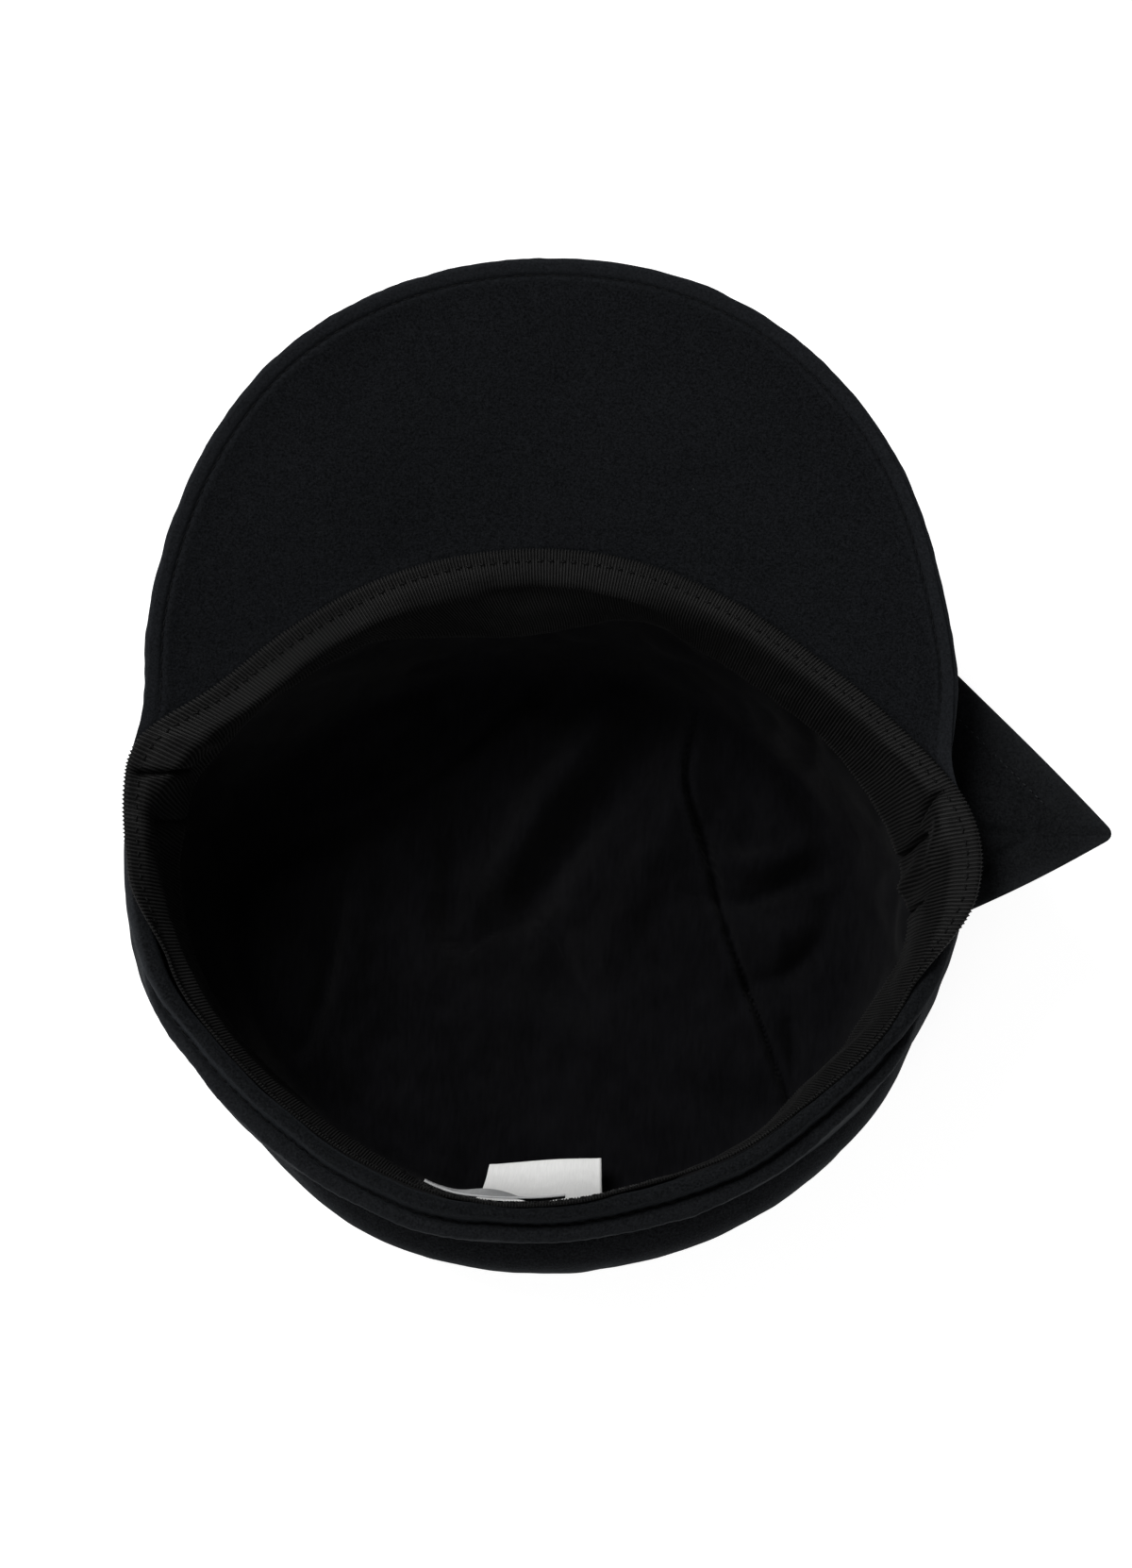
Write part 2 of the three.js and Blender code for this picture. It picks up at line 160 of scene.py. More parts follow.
def flare(deg):
    """How far the ribbon's sewn edge spills over the rim at its two corners: (out, up) in mm."""
    right, left = 3.0 * bell(turn(deg), 7, 14), 2.3 * bell(turn(deg), 163.5, 9)
    return right + left, 0.3 * right + 0.55 * left


def waves(seed, size, count=16):
    """A smooth, even noise of about unit variance whose features are size mm across."""
    rng = np.random.default_rng(seed)
    k = rng.normal(size=(count, 3))
    k *= (TAU / size) * rng.uniform(0.55, 1.5, (count, 1)) / np.linalg.norm(k, axis=1, keepdims=True)
    phase = rng.uniform(0, TAU, count)
    return lambda p: np.sin(np.asarray(p, float) @ k.T + phase).sum(-1) * math.sqrt(2 / count)


def to_line(p, line, closed=False):
    """(distance, share along, side) from points p (..., 2) to a polyline (n, 2); side is + to its left."""
    line = np.asarray(line, float)
    if closed:
        line = np.vstack([line, line[:1]])
    q = np.asarray(p, float).reshape(-1, 2)
    best = np.full(len(q), 1e9)
    along = np.zeros(len(q))
    side = np.zeros(len(q))
    seg = np.diff(line, axis=0)
    length = np.linalg.norm(seg, axis=1)
    run = np.concatenate([[0], np.cumsum(length)])
    for k in range(len(seg)):
        if length[k] < 1e-9:
            continue
        w = q - line[k]
        t = np.clip((w @ seg[k]) / length[k] ** 2, 0, 1)
        d = np.linalg.norm(w - t[:, None] * seg[k], axis=1)
        near = d < best
        best[near] = d[near]
        along[near] = (run[k] + t * length[k])[near] / run[-1]
        side[near] = np.sign(seg[k, 0] * w[:, 1] - seg[k, 1] * w[:, 0])[near]
    shape = np.asarray(p).shape[:-1]
    return best.reshape(shape), along.reshape(shape), side.reshape(shape)


def spline(points, n, closed=False):
    """Catmull-Rom through the second axis of points (..., k, dim): n samples in even steps of the parameter."""
    points = np.asarray(points, float)
    k = points.shape[-2]
    x = np.arange(n) * (k / n) if closed else np.linspace(0, k - 1, n)
    i = np.minimum(np.floor(x).astype(int), k - 1 if closed else k - 2)
    t = (x - i)[:, None]
    pick = (lambda j: points[..., (i + j) % k, :]) if closed else (lambda j: points[..., np.clip(i + j, 0, k - 1), :])
    return cubic(pick(-1), pick(0), pick(1), pick(2), t)


def even(path, n):
    """Open lines (..., k, dim) resampled to n points at even arc length."""
    path = np.asarray(path, float)
    flat = path.reshape(-1, path.shape[-2], path.shape[-1])
    out = np.empty((len(flat), n, path.shape[-1]))
    for a, line in enumerate(flat):
        s = np.concatenate([[0], np.cumsum(np.linalg.norm(np.diff(line, axis=0), axis=1))])
        u = np.linspace(0, s[-1], n)
        for d in range(line.shape[1]):
            out[a, :, d] = np.interp(u, s, line[:, d])
    return out.reshape(path.shape[:-2] + (n, path.shape[-1]))


def blur(path, sigma, step):
    """Open lines (..., k, dim), evenly spaced by step, softened over sigma mm; the ends stay."""
    r = max(1, int(math.ceil(3 * sigma / step)))
    w = np.exp(-0.5 * (np.arange(-r, r + 1) * step / sigma) ** 2)
    w /= w.sum()
    first, last = path[..., :1, :], path[..., -1:, :]
    head = 2 * first - path[..., 1:r + 1, :][..., ::-1, :]
    tail = 2 * last - path[..., -r - 1:-1, :][..., ::-1, :]
    padded = np.concatenate([head, path, tail], axis=-2)
    return sum(w[j] * padded[..., j:j + path.shape[-2], :] for j in range(2 * r + 1))


def around(rz, deg):
    """Points [r, z] (n, m, 2) at angles deg (n,) or (n, m) to x, y, z."""
    a = np.radians(np.asarray(deg, float))
    if a.ndim == 1:
        a = a[:, None]
    return np.stack([rz[..., 0] * np.cos(a), rz[..., 0] * np.sin(a), rz[..., 1] + 0 * a], -1)


def offset_sides(mid):
    """Unit normals of [r, z] lines (n, k, 2), to the left of their run."""
    d = np.gradient(mid, axis=1)
    d /= np.maximum(np.linalg.norm(d, axis=2, keepdims=True), 1e-9)
    return np.stack([-d[..., 1], d[..., 0]], -1)


def grid_normals(p, wrap_u):
    if wrap_u:
        du = np.roll(p, -1, 0) - np.roll(p, 1, 0)
    else:
        du = np.gradient(p, axis=0)
    dv = np.gradient(p, axis=1)
    n = np.cross(du, dv)
    return n / np.maximum(np.linalg.norm(n, axis=2, keepdims=True), 1e-12)


# ---- meshes ----------------------------------------------------------------
def build(name, points, faces, uvs=None, material=None, painted_highlight=None):
    """A mesh object from mm points, faces as index arrays, per-corner uvs in metres, and a painted highlight amount at
    each point.
    """
    faces = faces if isinstance(faces, list) else [faces]
    me = bpy.data.meshes.new(name)
    loops = np.concatenate([f.ravel() for f in faces])
    sizes = np.concatenate([np.full(len(f), f.shape[1]) for f in faces])
    starts = np.concatenate([[0], np.cumsum(sizes)[:-1]])
    me.vertices.add(len(points))
    me.vertices.foreach_set("co", (np.asarray(points, float) * MM).astype(np.float32).ravel())
    me.loops.add(len(loops))
    me.loops.foreach_set("vertex_index", loops.astype(np.int32))
    me.polygons.add(len(sizes))
    me.polygons.foreach_set("loop_start", starts.astype(np.int32))
    me.update(calc_edges=True)
    me.validate()
    if painted_highlight is not None and len(me.vertices) == painted_highlight.size:
        layer = me.attributes.new("painted_highlight", "FLOAT", "POINT")
        layer.data.foreach_set("value", painted_highlight.astype(np.float32).ravel())
    if uvs is not None and len(me.loops) == len(uvs):
        layer = me.uv_layers.new(name="cloth")
        layer.uv.foreach_set("vector", np.asarray(uvs, np.float32).ravel())
    me.polygons.foreach_set("use_smooth", np.ones(len(me.polygons), bool))
    ob = bpy.data.objects.new(name, me)
    bpy.context.scene.collection.objects.link(ob)
    if material is not None:
        me.materials.append(material)
    return ob


def signed_volume(p, quads):
    a, b, c, d = (p[quads[:, k]] for k in range(4))
    return float((np.einsum("ij,ij->i", a, np.cross(b, c)) + np.einsum("ij,ij->i", a, np.cross(c, d))).sum())


def sheet_of(p, wrap_u=False, wrap_v=False, u=None, v=None, base=0):
    """Quads and uvs of a grid (nu, nv, 3). u (nu+1,) and v (nv+1,) or (nu+1, nv+1) are cloth coordinates, in mm."""
    nu, nv = p.shape[:2]
    i = np.arange(nu if wrap_u else nu - 1)[:, None]
    j = np.arange(nv if wrap_v else nv - 1)[None, :]
    i1, j1 = (i + 1) % nu, (j + 1) % nv
    quads = np.stack([i * nv + j + 0 * i, i1 * nv + j, i1 * nv + j1, i * nv + j1], -1).reshape(-1, 4) + base
    u = np.arange(nu + 1, dtype=float) if u is None else np.asarray(u, float)
    v = np.arange(nv + 1, dtype=float) if v is None else np.asarray(v, float)
    uu = np.broadcast_to(u[:, None], (nu + 1, nv + 1)) if u.ndim == 1 else u
    vv = np.broadcast_to(v[None, :], (nu + 1, nv + 1)) if v.ndim == 1 else v
    ni, nj = i.shape[0], j.shape[1]
    corner = lambda a, b: np.stack([uu[a:ni + a, b:nj + b], vv[a:ni + a, b:nj + b]], -1)
    uv = np.stack([corner(0, 0), corner(1, 0), corner(1, 1), corner(0, 1)], 2).reshape(-1, 4, 2) * MM
    return quads, uv


def closed_grid(name, p, wrap_u, u=None, v=None, material=None, painted_highlight=None):
    """A closed body from sections that are loops (second axis wraps). Open ends are capped by a ladder."""
    nu, nv = p.shape[:2]
    quads, uv = sheet_of(p, wrap_u, True, u, v)
    pts = p.reshape(-1, 3)
    if not wrap_u:
        caps = []
        for s, flip in ((0, False), (nu - 1, True)):
            j = np.arange(nv // 2 - 1)
            q = np.stack([j, j + 1, nv - 2 - j, nv - 1 - j], 1) + s * nv
            caps.append(q[:, ::-1] if flip else q)
        caps = np.concatenate(caps)
        quads = np.concatenate([quads, caps])
        uv = np.concatenate([uv, np.zeros((len(caps), 4, 2))])
    if signed_volume(pts, quads) < 0:
        quads, uv = quads[:, ::-1], uv[:, ::-1]
    return build(name, pts, quads, uv.reshape(-1, 2), material, painted_highlight)


def two_sided(name, top, under, wrap_u, u=None, v=None, material=None, pole=False):
    """A closed cloth from two grids of the same size. With a pole, the first row of both is one point."""
    nu, nv = top.shape[:2]
    loop = np.concatenate([top, under[:, ::-1]], axis=1)
    if not pole:
        return closed_grid(name, loop, wrap_u, u, v, material)
    # the grids start at the middle, so the loop is opened there and fans close it
    quads, uv = sheet_of(loop, wrap_u, False, u, v)
    pts = loop.reshape(-1, 3)
    m = loop.shape[1]
    n0, n1 = len(pts), len(pts) + 1
    pts = np.vstack([pts, top[:, 0].mean(0), under[:, 0].mean(0)])
    i = np.arange(nu)
    f0 = np.stack([np.full(nu, n0), ((i + 1) % nu) * m, i * m], 1)
    f1 = np.stack([np.full(nu, n1), i * m + m - 1, ((i + 1) % nu) * m + m - 1], 1)
    if signed_volume(pts, quads) < 0:
        quads, uv, f0, f1 = quads[:, ::-1], uv[:, ::-1], f0[:, ::-1], f1[:, ::-1]
    uvs = np.concatenate([uv.reshape(-1, 2), np.zeros((6 * nu, 2))])
    return build(name, pts, [quads, f0, f1], uvs, material)


def threads(name, path, normal, pitch, length, radius, lift, material, closed=False, sink=0.25, sway=0.0, seed=1, sides=6, rings=8):
    """A row of stitches along a path (n, 3): each is a short thread that dips into the cloth at both ends."""
    path, normal = np.asarray(path, float), np.asarray(normal, float)
    if closed:
        path, normal = np.vstack([path, path[:1]]), np.vstack([normal, normal[:1]])
    s = np.concatenate([[0], np.cumsum(np.linalg.norm(np.diff(path, axis=0), axis=1))])
    count = max(1, int(round(s[-1] / pitch)))
    rng = np.random.default_rng(seed)
    step = s[-1] / count
    middle = (np.arange(count) + 0.5) * step + rng.uniform(-0.06, 0.06, count) * pitch
    t = np.linspace(-1, 1, rings)
    at = (middle[:, None] + 0.5 * length * t[None, :] * rng.uniform(0.94, 1.05, (count, 1)))
    at = np.mod(at, s[-1]) if closed else np.clip(at, 0, s[-1])
    get = lambda a: np.stack([np.interp(at, s, a[:, k]) for k in range(3)], -1)
    c, n = get(path), get(normal)
    n /= np.maximum(np.linalg.norm(n, axis=-1, keepdims=True), 1e-9)
    tangent = np.gradient(c, axis=1)
    tangent /= np.maximum(np.linalg.norm(tangent, axis=-1, keepdims=True), 1e-9)
    b = np.cross(tangent, n)
    c = c + n * (lift * (1 - np.abs(t) ** 3)[None, :, None] - sink * (np.abs(t) ** 3)[None, :, None])
    c = c + b * (sway * t * rng.choice([-1.0, 1.0], (count, 1)) if sway else np.zeros((count, rings)))[..., None]
    fat = radius * np.sqrt(np.clip(1 - 0.72 * np.abs(t) ** 5, 0.05, 1))
    a = np.arange(sides) * TAU / sides
    ring = (n[:, :, None, :] * np.cos(a)[None, None, :, None] + b[:, :, None, :] * np.sin(a)[None, None, :, None]) * fat[None, :, None, None]
    pts = (c[:, :, None, :] + ring).reshape(-1, 3)
    k = np.arange(count)[:, None, None] * rings * sides
    r = np.arange(rings - 1)[None, :, None] * sides
    j = np.arange(sides)[None, None, :]
    j1 = (j + 1) % sides
    q = np.stack([k + r + j, k + r + j1, k + r + sides + j1, k + r + sides + j], -1).reshape(-1, 4)
    uvq = np.stack([
        np.stack([np.broadcast_to(r / sides, (count, rings - 1, sides)) * length / rings, np.broadcast_to(j * 0.3, (count, rings - 1, sides))], -1),
        np.stack([np.broadcast_to(r / sides, (count, rings - 1, sides)) * length / rings, np.broadcast_to((j + 1) * 0.3, (count, rings - 1, sides))], -1),
        np.stack([np.broadcast_to(r / sides + 1, (count, rings - 1, sides)) * length / rings, np.broadcast_to((j + 1) * 0.3, (count, rings - 1, sides))], -1),
        np.stack([np.broadcast_to(r / sides + 1, (count, rings - 1, sides)) * length / rings, np.broadcast_to(j * 0.3, (count, rings - 1, sides))], -1),
    ], 3).reshape(-1, 2) * MM
    base = np.arange(count)[:, None] * rings * sides
    c0 = (base + np.arange(sides)[None, ::-1])
    c1 = (base + (rings - 1) * sides + np.arange(sides)[None, :])
    caps = np.concatenate([c0, c1])
    uvs = np.concatenate([uvq, np.zeros((caps.size, 2))])
    # quads run with the ring outward when tangent, normal and side are right handed
    flip = float(np.einsum("...i,...i->...", np.cross(n, b), tangent).mean()) < 0
    if flip:
        q, caps = q[:, ::-1], caps[:, ::-1]
    return build(name, pts, [q, caps], uvs, material)


# ---- materials ---------------------------------------------------------------
def principled(name):
    m = bpy.data.materials.new(name)
    m.use_nodes = True
    t = m.node_tree
    t.nodes.clear()
    out = t.nodes.new("ShaderNodeOutputMaterial")
    bsdf = t.nodes.new("ShaderNodeBsdfPrincipled")
    t.links.new(bsdf.outputs[0], out.inputs[0])
    return m, t, bsdf


def node(t, kind, **values):
    n = t.nodes.new(kind)
    for key, value in values.items():
        if key in n.bl_rna.properties:
            setattr(n, key, value)
        else:
            n.inputs[key.replace("_", " ")].default_value = value
    return n


def noise(t, coord, scale, detail=3.0, rough=0.55, stretch=None, offset=(0, 0, 0)):
    n = t.nodes.new("ShaderNodeTexNoise")
    n.inputs["Scale"].default_value = scale
    n.inputs["Detail"].default_value = detail
    n.inputs["Roughness"].default_value = rough
    if stretch is not None or offset != (0, 0, 0):
        m = t.nodes.new("ShaderNodeMapping")
        m.inputs["Scale"].default_value = stretch or (1, 1, 1)
        m.inputs["Location"].default_value = offset
        t.links.new(coord, m.inputs["Vector"])
        coord = m.outputs[0]
    t.links.new(coord, n.inputs["Vector"])
    return n.outputs["Fac"]


def ramp(t, fac, stops):
    r = t.nodes.new("ShaderNodeValToRGB")
    while len(r.color_ramp.elements) < len(stops):
        r.color_ramp.elements.new(0.5)
    for e, (pos, colour) in zip(r.color_ramp.elements, stops):
        e.position = pos
        e.color = (*colour, 1) if len(colour) == 3 else colour
    t.links.new(fac, r.inputs[0])
    return r.outputs[0]


def maths(t, op, a, b=None, clamp=False):
    n = t.nodes.new("ShaderNodeMath")
    n.operation = op
    n.use_clamp = clamp
    for k, value in enumerate([a] if b is None else [a, b]):
        if isinstance(value, (int, float)):
            n.inputs[k].default_value = value
        else:
            t.links.new(value, n.inputs[k])
    return n.outputs[0]


def mix(t, fac, a, b, kind="MIX"):
    n = t.nodes.new("ShaderNodeMix")
    n.data_type = "RGBA"
    n.blend_type = kind
    for socket, value in ((n.inputs[0], fac), (n.inputs[6], a), (n.inputs[7], b)):
        if isinstance(value, (int, float)):
            socket.default_value = value
        elif isinstance(value, tuple):
            socket.default_value = (*value, 1)
        else:
            t.links.new(value, socket)
    return n.outputs[2]


def bump(t, height, distance, strength=1.0, normal=None):
    b = t.nodes.new("ShaderNodeBump")
    b.inputs["Strength"].default_value = strength
    b.inputs["Distance"].default_value = distance
    t.links.new(height, b.inputs["Height"])
    if normal is not None:
        t.links.new(normal, b.inputs["Normal"])
    return b.outputs[0]


def wool(name, dark, light, sheen=0.035, seed=0.0, lint=0.5):
    """Felted melton: matted fibres in all directions, a soft nap, and a few specks of lint."""
    m, t, s = principled(name)
    c = t.nodes.new("ShaderNodeTexCoord").outputs["Object"]
    o = (seed, seed * 1.7, seed * 0.3)
    fibre_a = noise(t, c, 3000, 2, 0.6, (1.0, 0.45, 0.8), o)
    fibre_b = noise(t, c, 3000, 2, 0.6, (0.45, 1.0, 0.8), o)
    clump = noise(t, c, 1700, 2, 0.6, None, o)
    patch = noise(t, c, 480, 3, 0.5, None, o)
    wide = noise(t, c, 30, 2, 0.5, None, o)
    fibres = maths(t, "MAXIMUM", fibre_a, fibre_b)
    blend = maths(t, "ADD", maths(t, "MULTIPLY", fibres, 0.44), maths(t, "ADD", maths(t, "MULTIPLY", clump, 0.46), maths(t, "ADD", maths(t, "MULTIPLY", patch, 0.07), maths(t, "MULTIPLY", wide, 0.05))))
    colour = ramp(t, blend, [(0.43, dark), (0.65, light)])
    # specks of pale lint, few and tiny
    v = t.nodes.new("ShaderNodeTexVoronoi")
    v.inputs["Scale"].default_value = 170
    t.links.new(c, v.inputs["Vector"])
    speck = maths(t, "LESS_THAN", v.outputs["Distance"], 0.045)
    few = maths(t, "GREATER_THAN", noise(t, c, 45, 1, 0.5, None, (seed + 3, 0, 0)), 0.66)
    speck = maths(t, "MULTIPLY", maths(t, "MULTIPLY", speck, few), lint)
    colour = mix(t, speck, colour, (0.035, 0.037, 0.040))
    # painted highlight: folded edges, hems and the turned rim are mixed toward a paler colour, standing in for the
    # light they catch
    highlight_attr = t.nodes.new("ShaderNodeAttribute")
    highlight_attr.attribute_name = "painted_highlight"
    colour = mix(t, maths(t, "MULTIPLY", highlight_attr.outputs["Fac"], maths(t, "ADD", clump, 0.35), clamp=True), colour, tuple(2.6 * x for x in light))
    t.links.new(colour, s.inputs["Base Color"])
    rough = ramp(t, clump, [(0.3, (0.86,) * 3), (0.7, (0.98,) * 3)])
    t.links.new(rough, s.inputs["Roughness"])
    s.inputs["Specular IOR Level"].default_value = 0.025
    s.inputs["Sheen Weight"].default_value = sheen
    s.inputs["Sheen Roughness"].default_value = 0.55
    s.inputs["Sheen Tint"].default_value = (0.55, 0.62, 0.70, 1)
    height = maths(t, "ADD", maths(t, "MULTIPLY", fibres, 0.55), maths(t, "ADD", maths(t, "MULTIPLY", clump, 0.75), maths(t, "MULTIPLY", patch, 0.45)))
    t.links.new(bump(t, height, 0.00030, 0.8), s.inputs["Normal"])
    return m


def uv_socket(t):
    n = t.nodes.new("ShaderNodeUVMap")
    n.uv_map = "cloth"
    return n.outputs[0]


def split(t, vector):
    n = t.nodes.new("ShaderNodeSeparateXYZ")
    t.links.new(vector, n.inputs[0])
    return n.outputs


def sine(t, value, per_metre, phase=0.0):
    return maths(t, "SINE", maths(t, "ADD", maths(t, "MULTIPLY", value, TAU * per_metre), phase))


def ribbon_material(name):
    """Grosgrain: fine warp threads run the length of the ribbon over the thick ribs, which are in the mesh."""
    m, t, s = principled(name)
    uv = uv_socket(t)
    parts = split(t, uv)
    c = t.nodes.new("ShaderNodeTexCoord").outputs["Object"]
    warp = sine(t, maths(t, "ADD", parts[1], maths(t, "MULTIPLY", noise(t, c, 300, 2), 0.0002)), 4200)
    streak = noise(t, uv, 1, 3, 0.6, (90, 2600, 1))
    patch = noise(t, c, 60, 3, 0.5)
    blend = maths(t, "ADD", maths(t, "MULTIPLY", streak, 0.55), maths(t, "MULTIPLY", patch, 0.45))
    colour = ramp(t, blend, [(0.36, (0.0070, 0.0070, 0.0071)), (0.66, (0.0160, 0.0158, 0.0156))])
    # painted shade and highlight: the colour falls almost to black in the gaps between the ribs and is full on their
    # crests
    rib_light_phase = maths(t, "MULTIPLY", sine(t, parts[0], RIBS / (TAU * 0.092), math.pi / 2), 0.5)
    rib_light_phase = maths(t, "ADD", rib_light_phase, 0.5)
    painted_rib_shade = ramp(t, rib_light_phase, [(0.34, (0.030, 0.030, 0.030)), (0.90, (1.0, 1.0, 1.0))])
    t.links.new(mix(t, 1.0, colour, painted_rib_shade, "MULTIPLY"), s.inputs["Base Color"])
    t.links.new(ramp(t, streak, [(0.3, (0.40,) * 3), (0.7, (0.56,) * 3)]), s.inputs["Roughness"])
    s.inputs["Specular IOR Level"].default_value = 0.10
    s.inputs["Sheen Weight"].default_value = 0.02
    s.inputs["Sheen Roughness"].default_value = 0.4
    t.links.new(bump(t, maths(t, "ADD", maths(t, "MULTIPLY", warp, 0.5), streak), 0.00004, 0.8), s.inputs["Normal"])
    return m


def cotton(name, dark, light):
    """Plain-weave cotton with slubs, rumples too fine for the mesh, and a faint bloom."""
    m, t, s = principled(name)
    c = t.nodes.new("ShaderNodeTexCoord").outputs["Object"]
    uv = uv_socket(t)
    parts = split(t, uv)
    wob = maths(t, "MULTIPLY", noise(t, c, 160, 2), 0.0012)
    across = sine(t, maths(t, "ADD", parts[0], wob), 2400)
    along = sine(t, maths(t, "ADD", parts[1], wob), 2700)
    weave = maths(t, "MULTIPLY", across, along)
    slub = noise(t, c, 900, 3, 0.6, (1.0, 0.18, 0.5))
    patch = noise(t, c, 70, 4, 0.55)
    wide = noise(t, c, 14, 2, 0.5)
    blend = maths(t, "ADD", maths(t, "MULTIPLY", slub, 0.36), maths(t, "ADD", maths(t, "MULTIPLY", patch, 0.34), maths(t, "MULTIPLY", wide, 0.30)))
    colour = ramp(t, blend, [(0.38, dark), (0.64, light)])
    t.links.new(colour, s.inputs["Base Color"])
    t.links.new(ramp(t, patch, [(0.3, (0.78,) * 3), (0.7, (0.92,) * 3)]), s.inputs["Roughness"])
    s.inputs["Specular IOR Level"].default_value = 0.02
    s.inputs["Sheen Weight"].default_value = 0.02
    s.inputs["Sheen Roughness"].default_value = 0.5
    fine = bump(t, maths(t, "ADD", weave, maths(t, "MULTIPLY", slub, 1.6)), 0.00005, 0.8)
    t.links.new(bump(t, noise(t, c, 55, 3, 0.5), 0.0012, 0.5, fine), s.inputs["Normal"])
    return m


def thread_material(name, colour, rough=0.5):
    m, t, s = principled(name)
    uv = uv_socket(t)
    parts = split(t, uv)
    ply = sine(t, maths(t, "ADD", parts[0], parts[1]), 2200)
    shade = noise(t, t.nodes.new("ShaderNodeTexCoord").outputs["Object"], 900, 2)
    both = maths(t, "ADD", maths(t, "MULTIPLY", ply, 0.2), shade)
    t.links.new(ramp(t, both, [(0.3, tuple(x * 0.6 for x in colour)), (0.75, tuple(x * 1.3 for x in colour))]), s.inputs["Base Color"])
    t.links.new(ramp(t, shade, [(0.3, (rough - 0.08,) * 3), (0.7, (rough + 0.1,) * 3)]), s.inputs["Roughness"])
    s.inputs["Specular IOR Level"].default_value = 0.12 if colour[0] < 0.1 else 0.4
    t.links.new(bump(t, ply, 0.00006, 0.8), s.inputs["Normal"])
    return m


def satin(name, dark, light, rough, threads_per_m=3200, weave=0.5):
    """Label tape: fine lengthwise floats and faint rumples."""
    m, t, s = principled(name)
    c = t.nodes.new("ShaderNodeTexCoord").outputs["Object"]
    parts = split(t, uv_socket(t))
    across = sine(t, parts[0], threads_per_m)
    along = sine(t, parts[1], threads_per_m * 0.55)
    weft = maths(t, "MULTIPLY", across, along)
    streak = noise(t, uv_socket(t), 1, 3, 0.6, (2400, 160, 1))
    patch = noise(t, c, 90, 3)
    blend = maths(t, "ADD", maths(t, "MULTIPLY", streak, 0.5), maths(t, "ADD", maths(t, "MULTIPLY", patch, 0.3), maths(t, "MULTIPLY", weft, weave * 0.2)))
    t.links.new(ramp(t, blend, [(0.25, dark), (0.6, light)]), s.inputs["Base Color"])
    t.links.new(ramp(t, streak, [(0.3, (rough - 0.07,) * 3), (0.7, (rough + 0.1,) * 3)]), s.inputs["Roughness"])
    s.inputs["Specular IOR Level"].default_value = 0.4
    t.links.new(bump(t, maths(t, "ADD", maths(t, "MULTIPLY", weft, weave), streak), 0.00006, 0.6), s.inputs["Normal"])
    return m


WOOL_VISOR = wool("visor_melton", (0.0018, 0.0020, 0.0023), (0.0086, 0.0093, 0.0107), seed=0.11)
WOOL_BAND = wool("band_melton", (0.0020, 0.0022, 0.0025), (0.0096, 0.0103, 0.0115), seed=0.37)
# painted light: the crown's melton is a lighter copy of the same wool, standing in for the fill light on the crown wall
WOOL_CROWN_LIT_COPY = wool("crown_melton_lit_copy", (0.0028, 0.0031, 0.0035), (0.0136, 0.0146, 0.0162), seed=0.53)
WOOL_BOW = wool("bow_melton", (0.0019, 0.0020, 0.0023), (0.0082, 0.0088, 0.0096), seed=0.71)
RIBBON = ribbon_material("grosgrain")
COTTON = cotton("lining_cotton_weave", (0.0019, 0.0019, 0.0023), (0.0048, 0.0048, 0.0057))
THREAD = thread_material("black_thread", (0.0040, 0.0043, 0.0050))
THREAD_RIBBON = thread_material("ribbon_thread", (0.0050, 0.0050, 0.0052), 0.42)
THREAD_HEM = thread_material("hem_thread", (0.022, 0.024, 0.026), 0.5)
SATIN = satin("white_satin", (0.70, 0.70, 0.69), (0.84, 0.84, 0.83), 0.45)
WOVEN = satin("grey_woven_tape", (0.26, 0.265, 0.27), (0.46, 0.465, 0.47), 0.6, 1500, 1.4)
WHITE_THREAD = thread_material("white_thread", (0.75, 0.75, 0.74), 0.5)


# ---- headband: turned rim, stitched groove, second roll, plain band ----------
ROUND = 540


def band_outer(deg, down):
    step = band_step(deg) + 0.4 * at_back(deg)
    tuck = 0.7 * smooth(226, 240, deg) * (1 - smooth(336, 348, deg))
    return lerp(col("rim", deg) - 0.4 + step, col("edge", deg) + 0.3 - tuck, smooth(9, 22, down)) - 0.5 * smooth(26, 33, down)


def roll_width(deg):
    return ROLL_WIDTH * (1 - 0.30 * over_rim(deg))


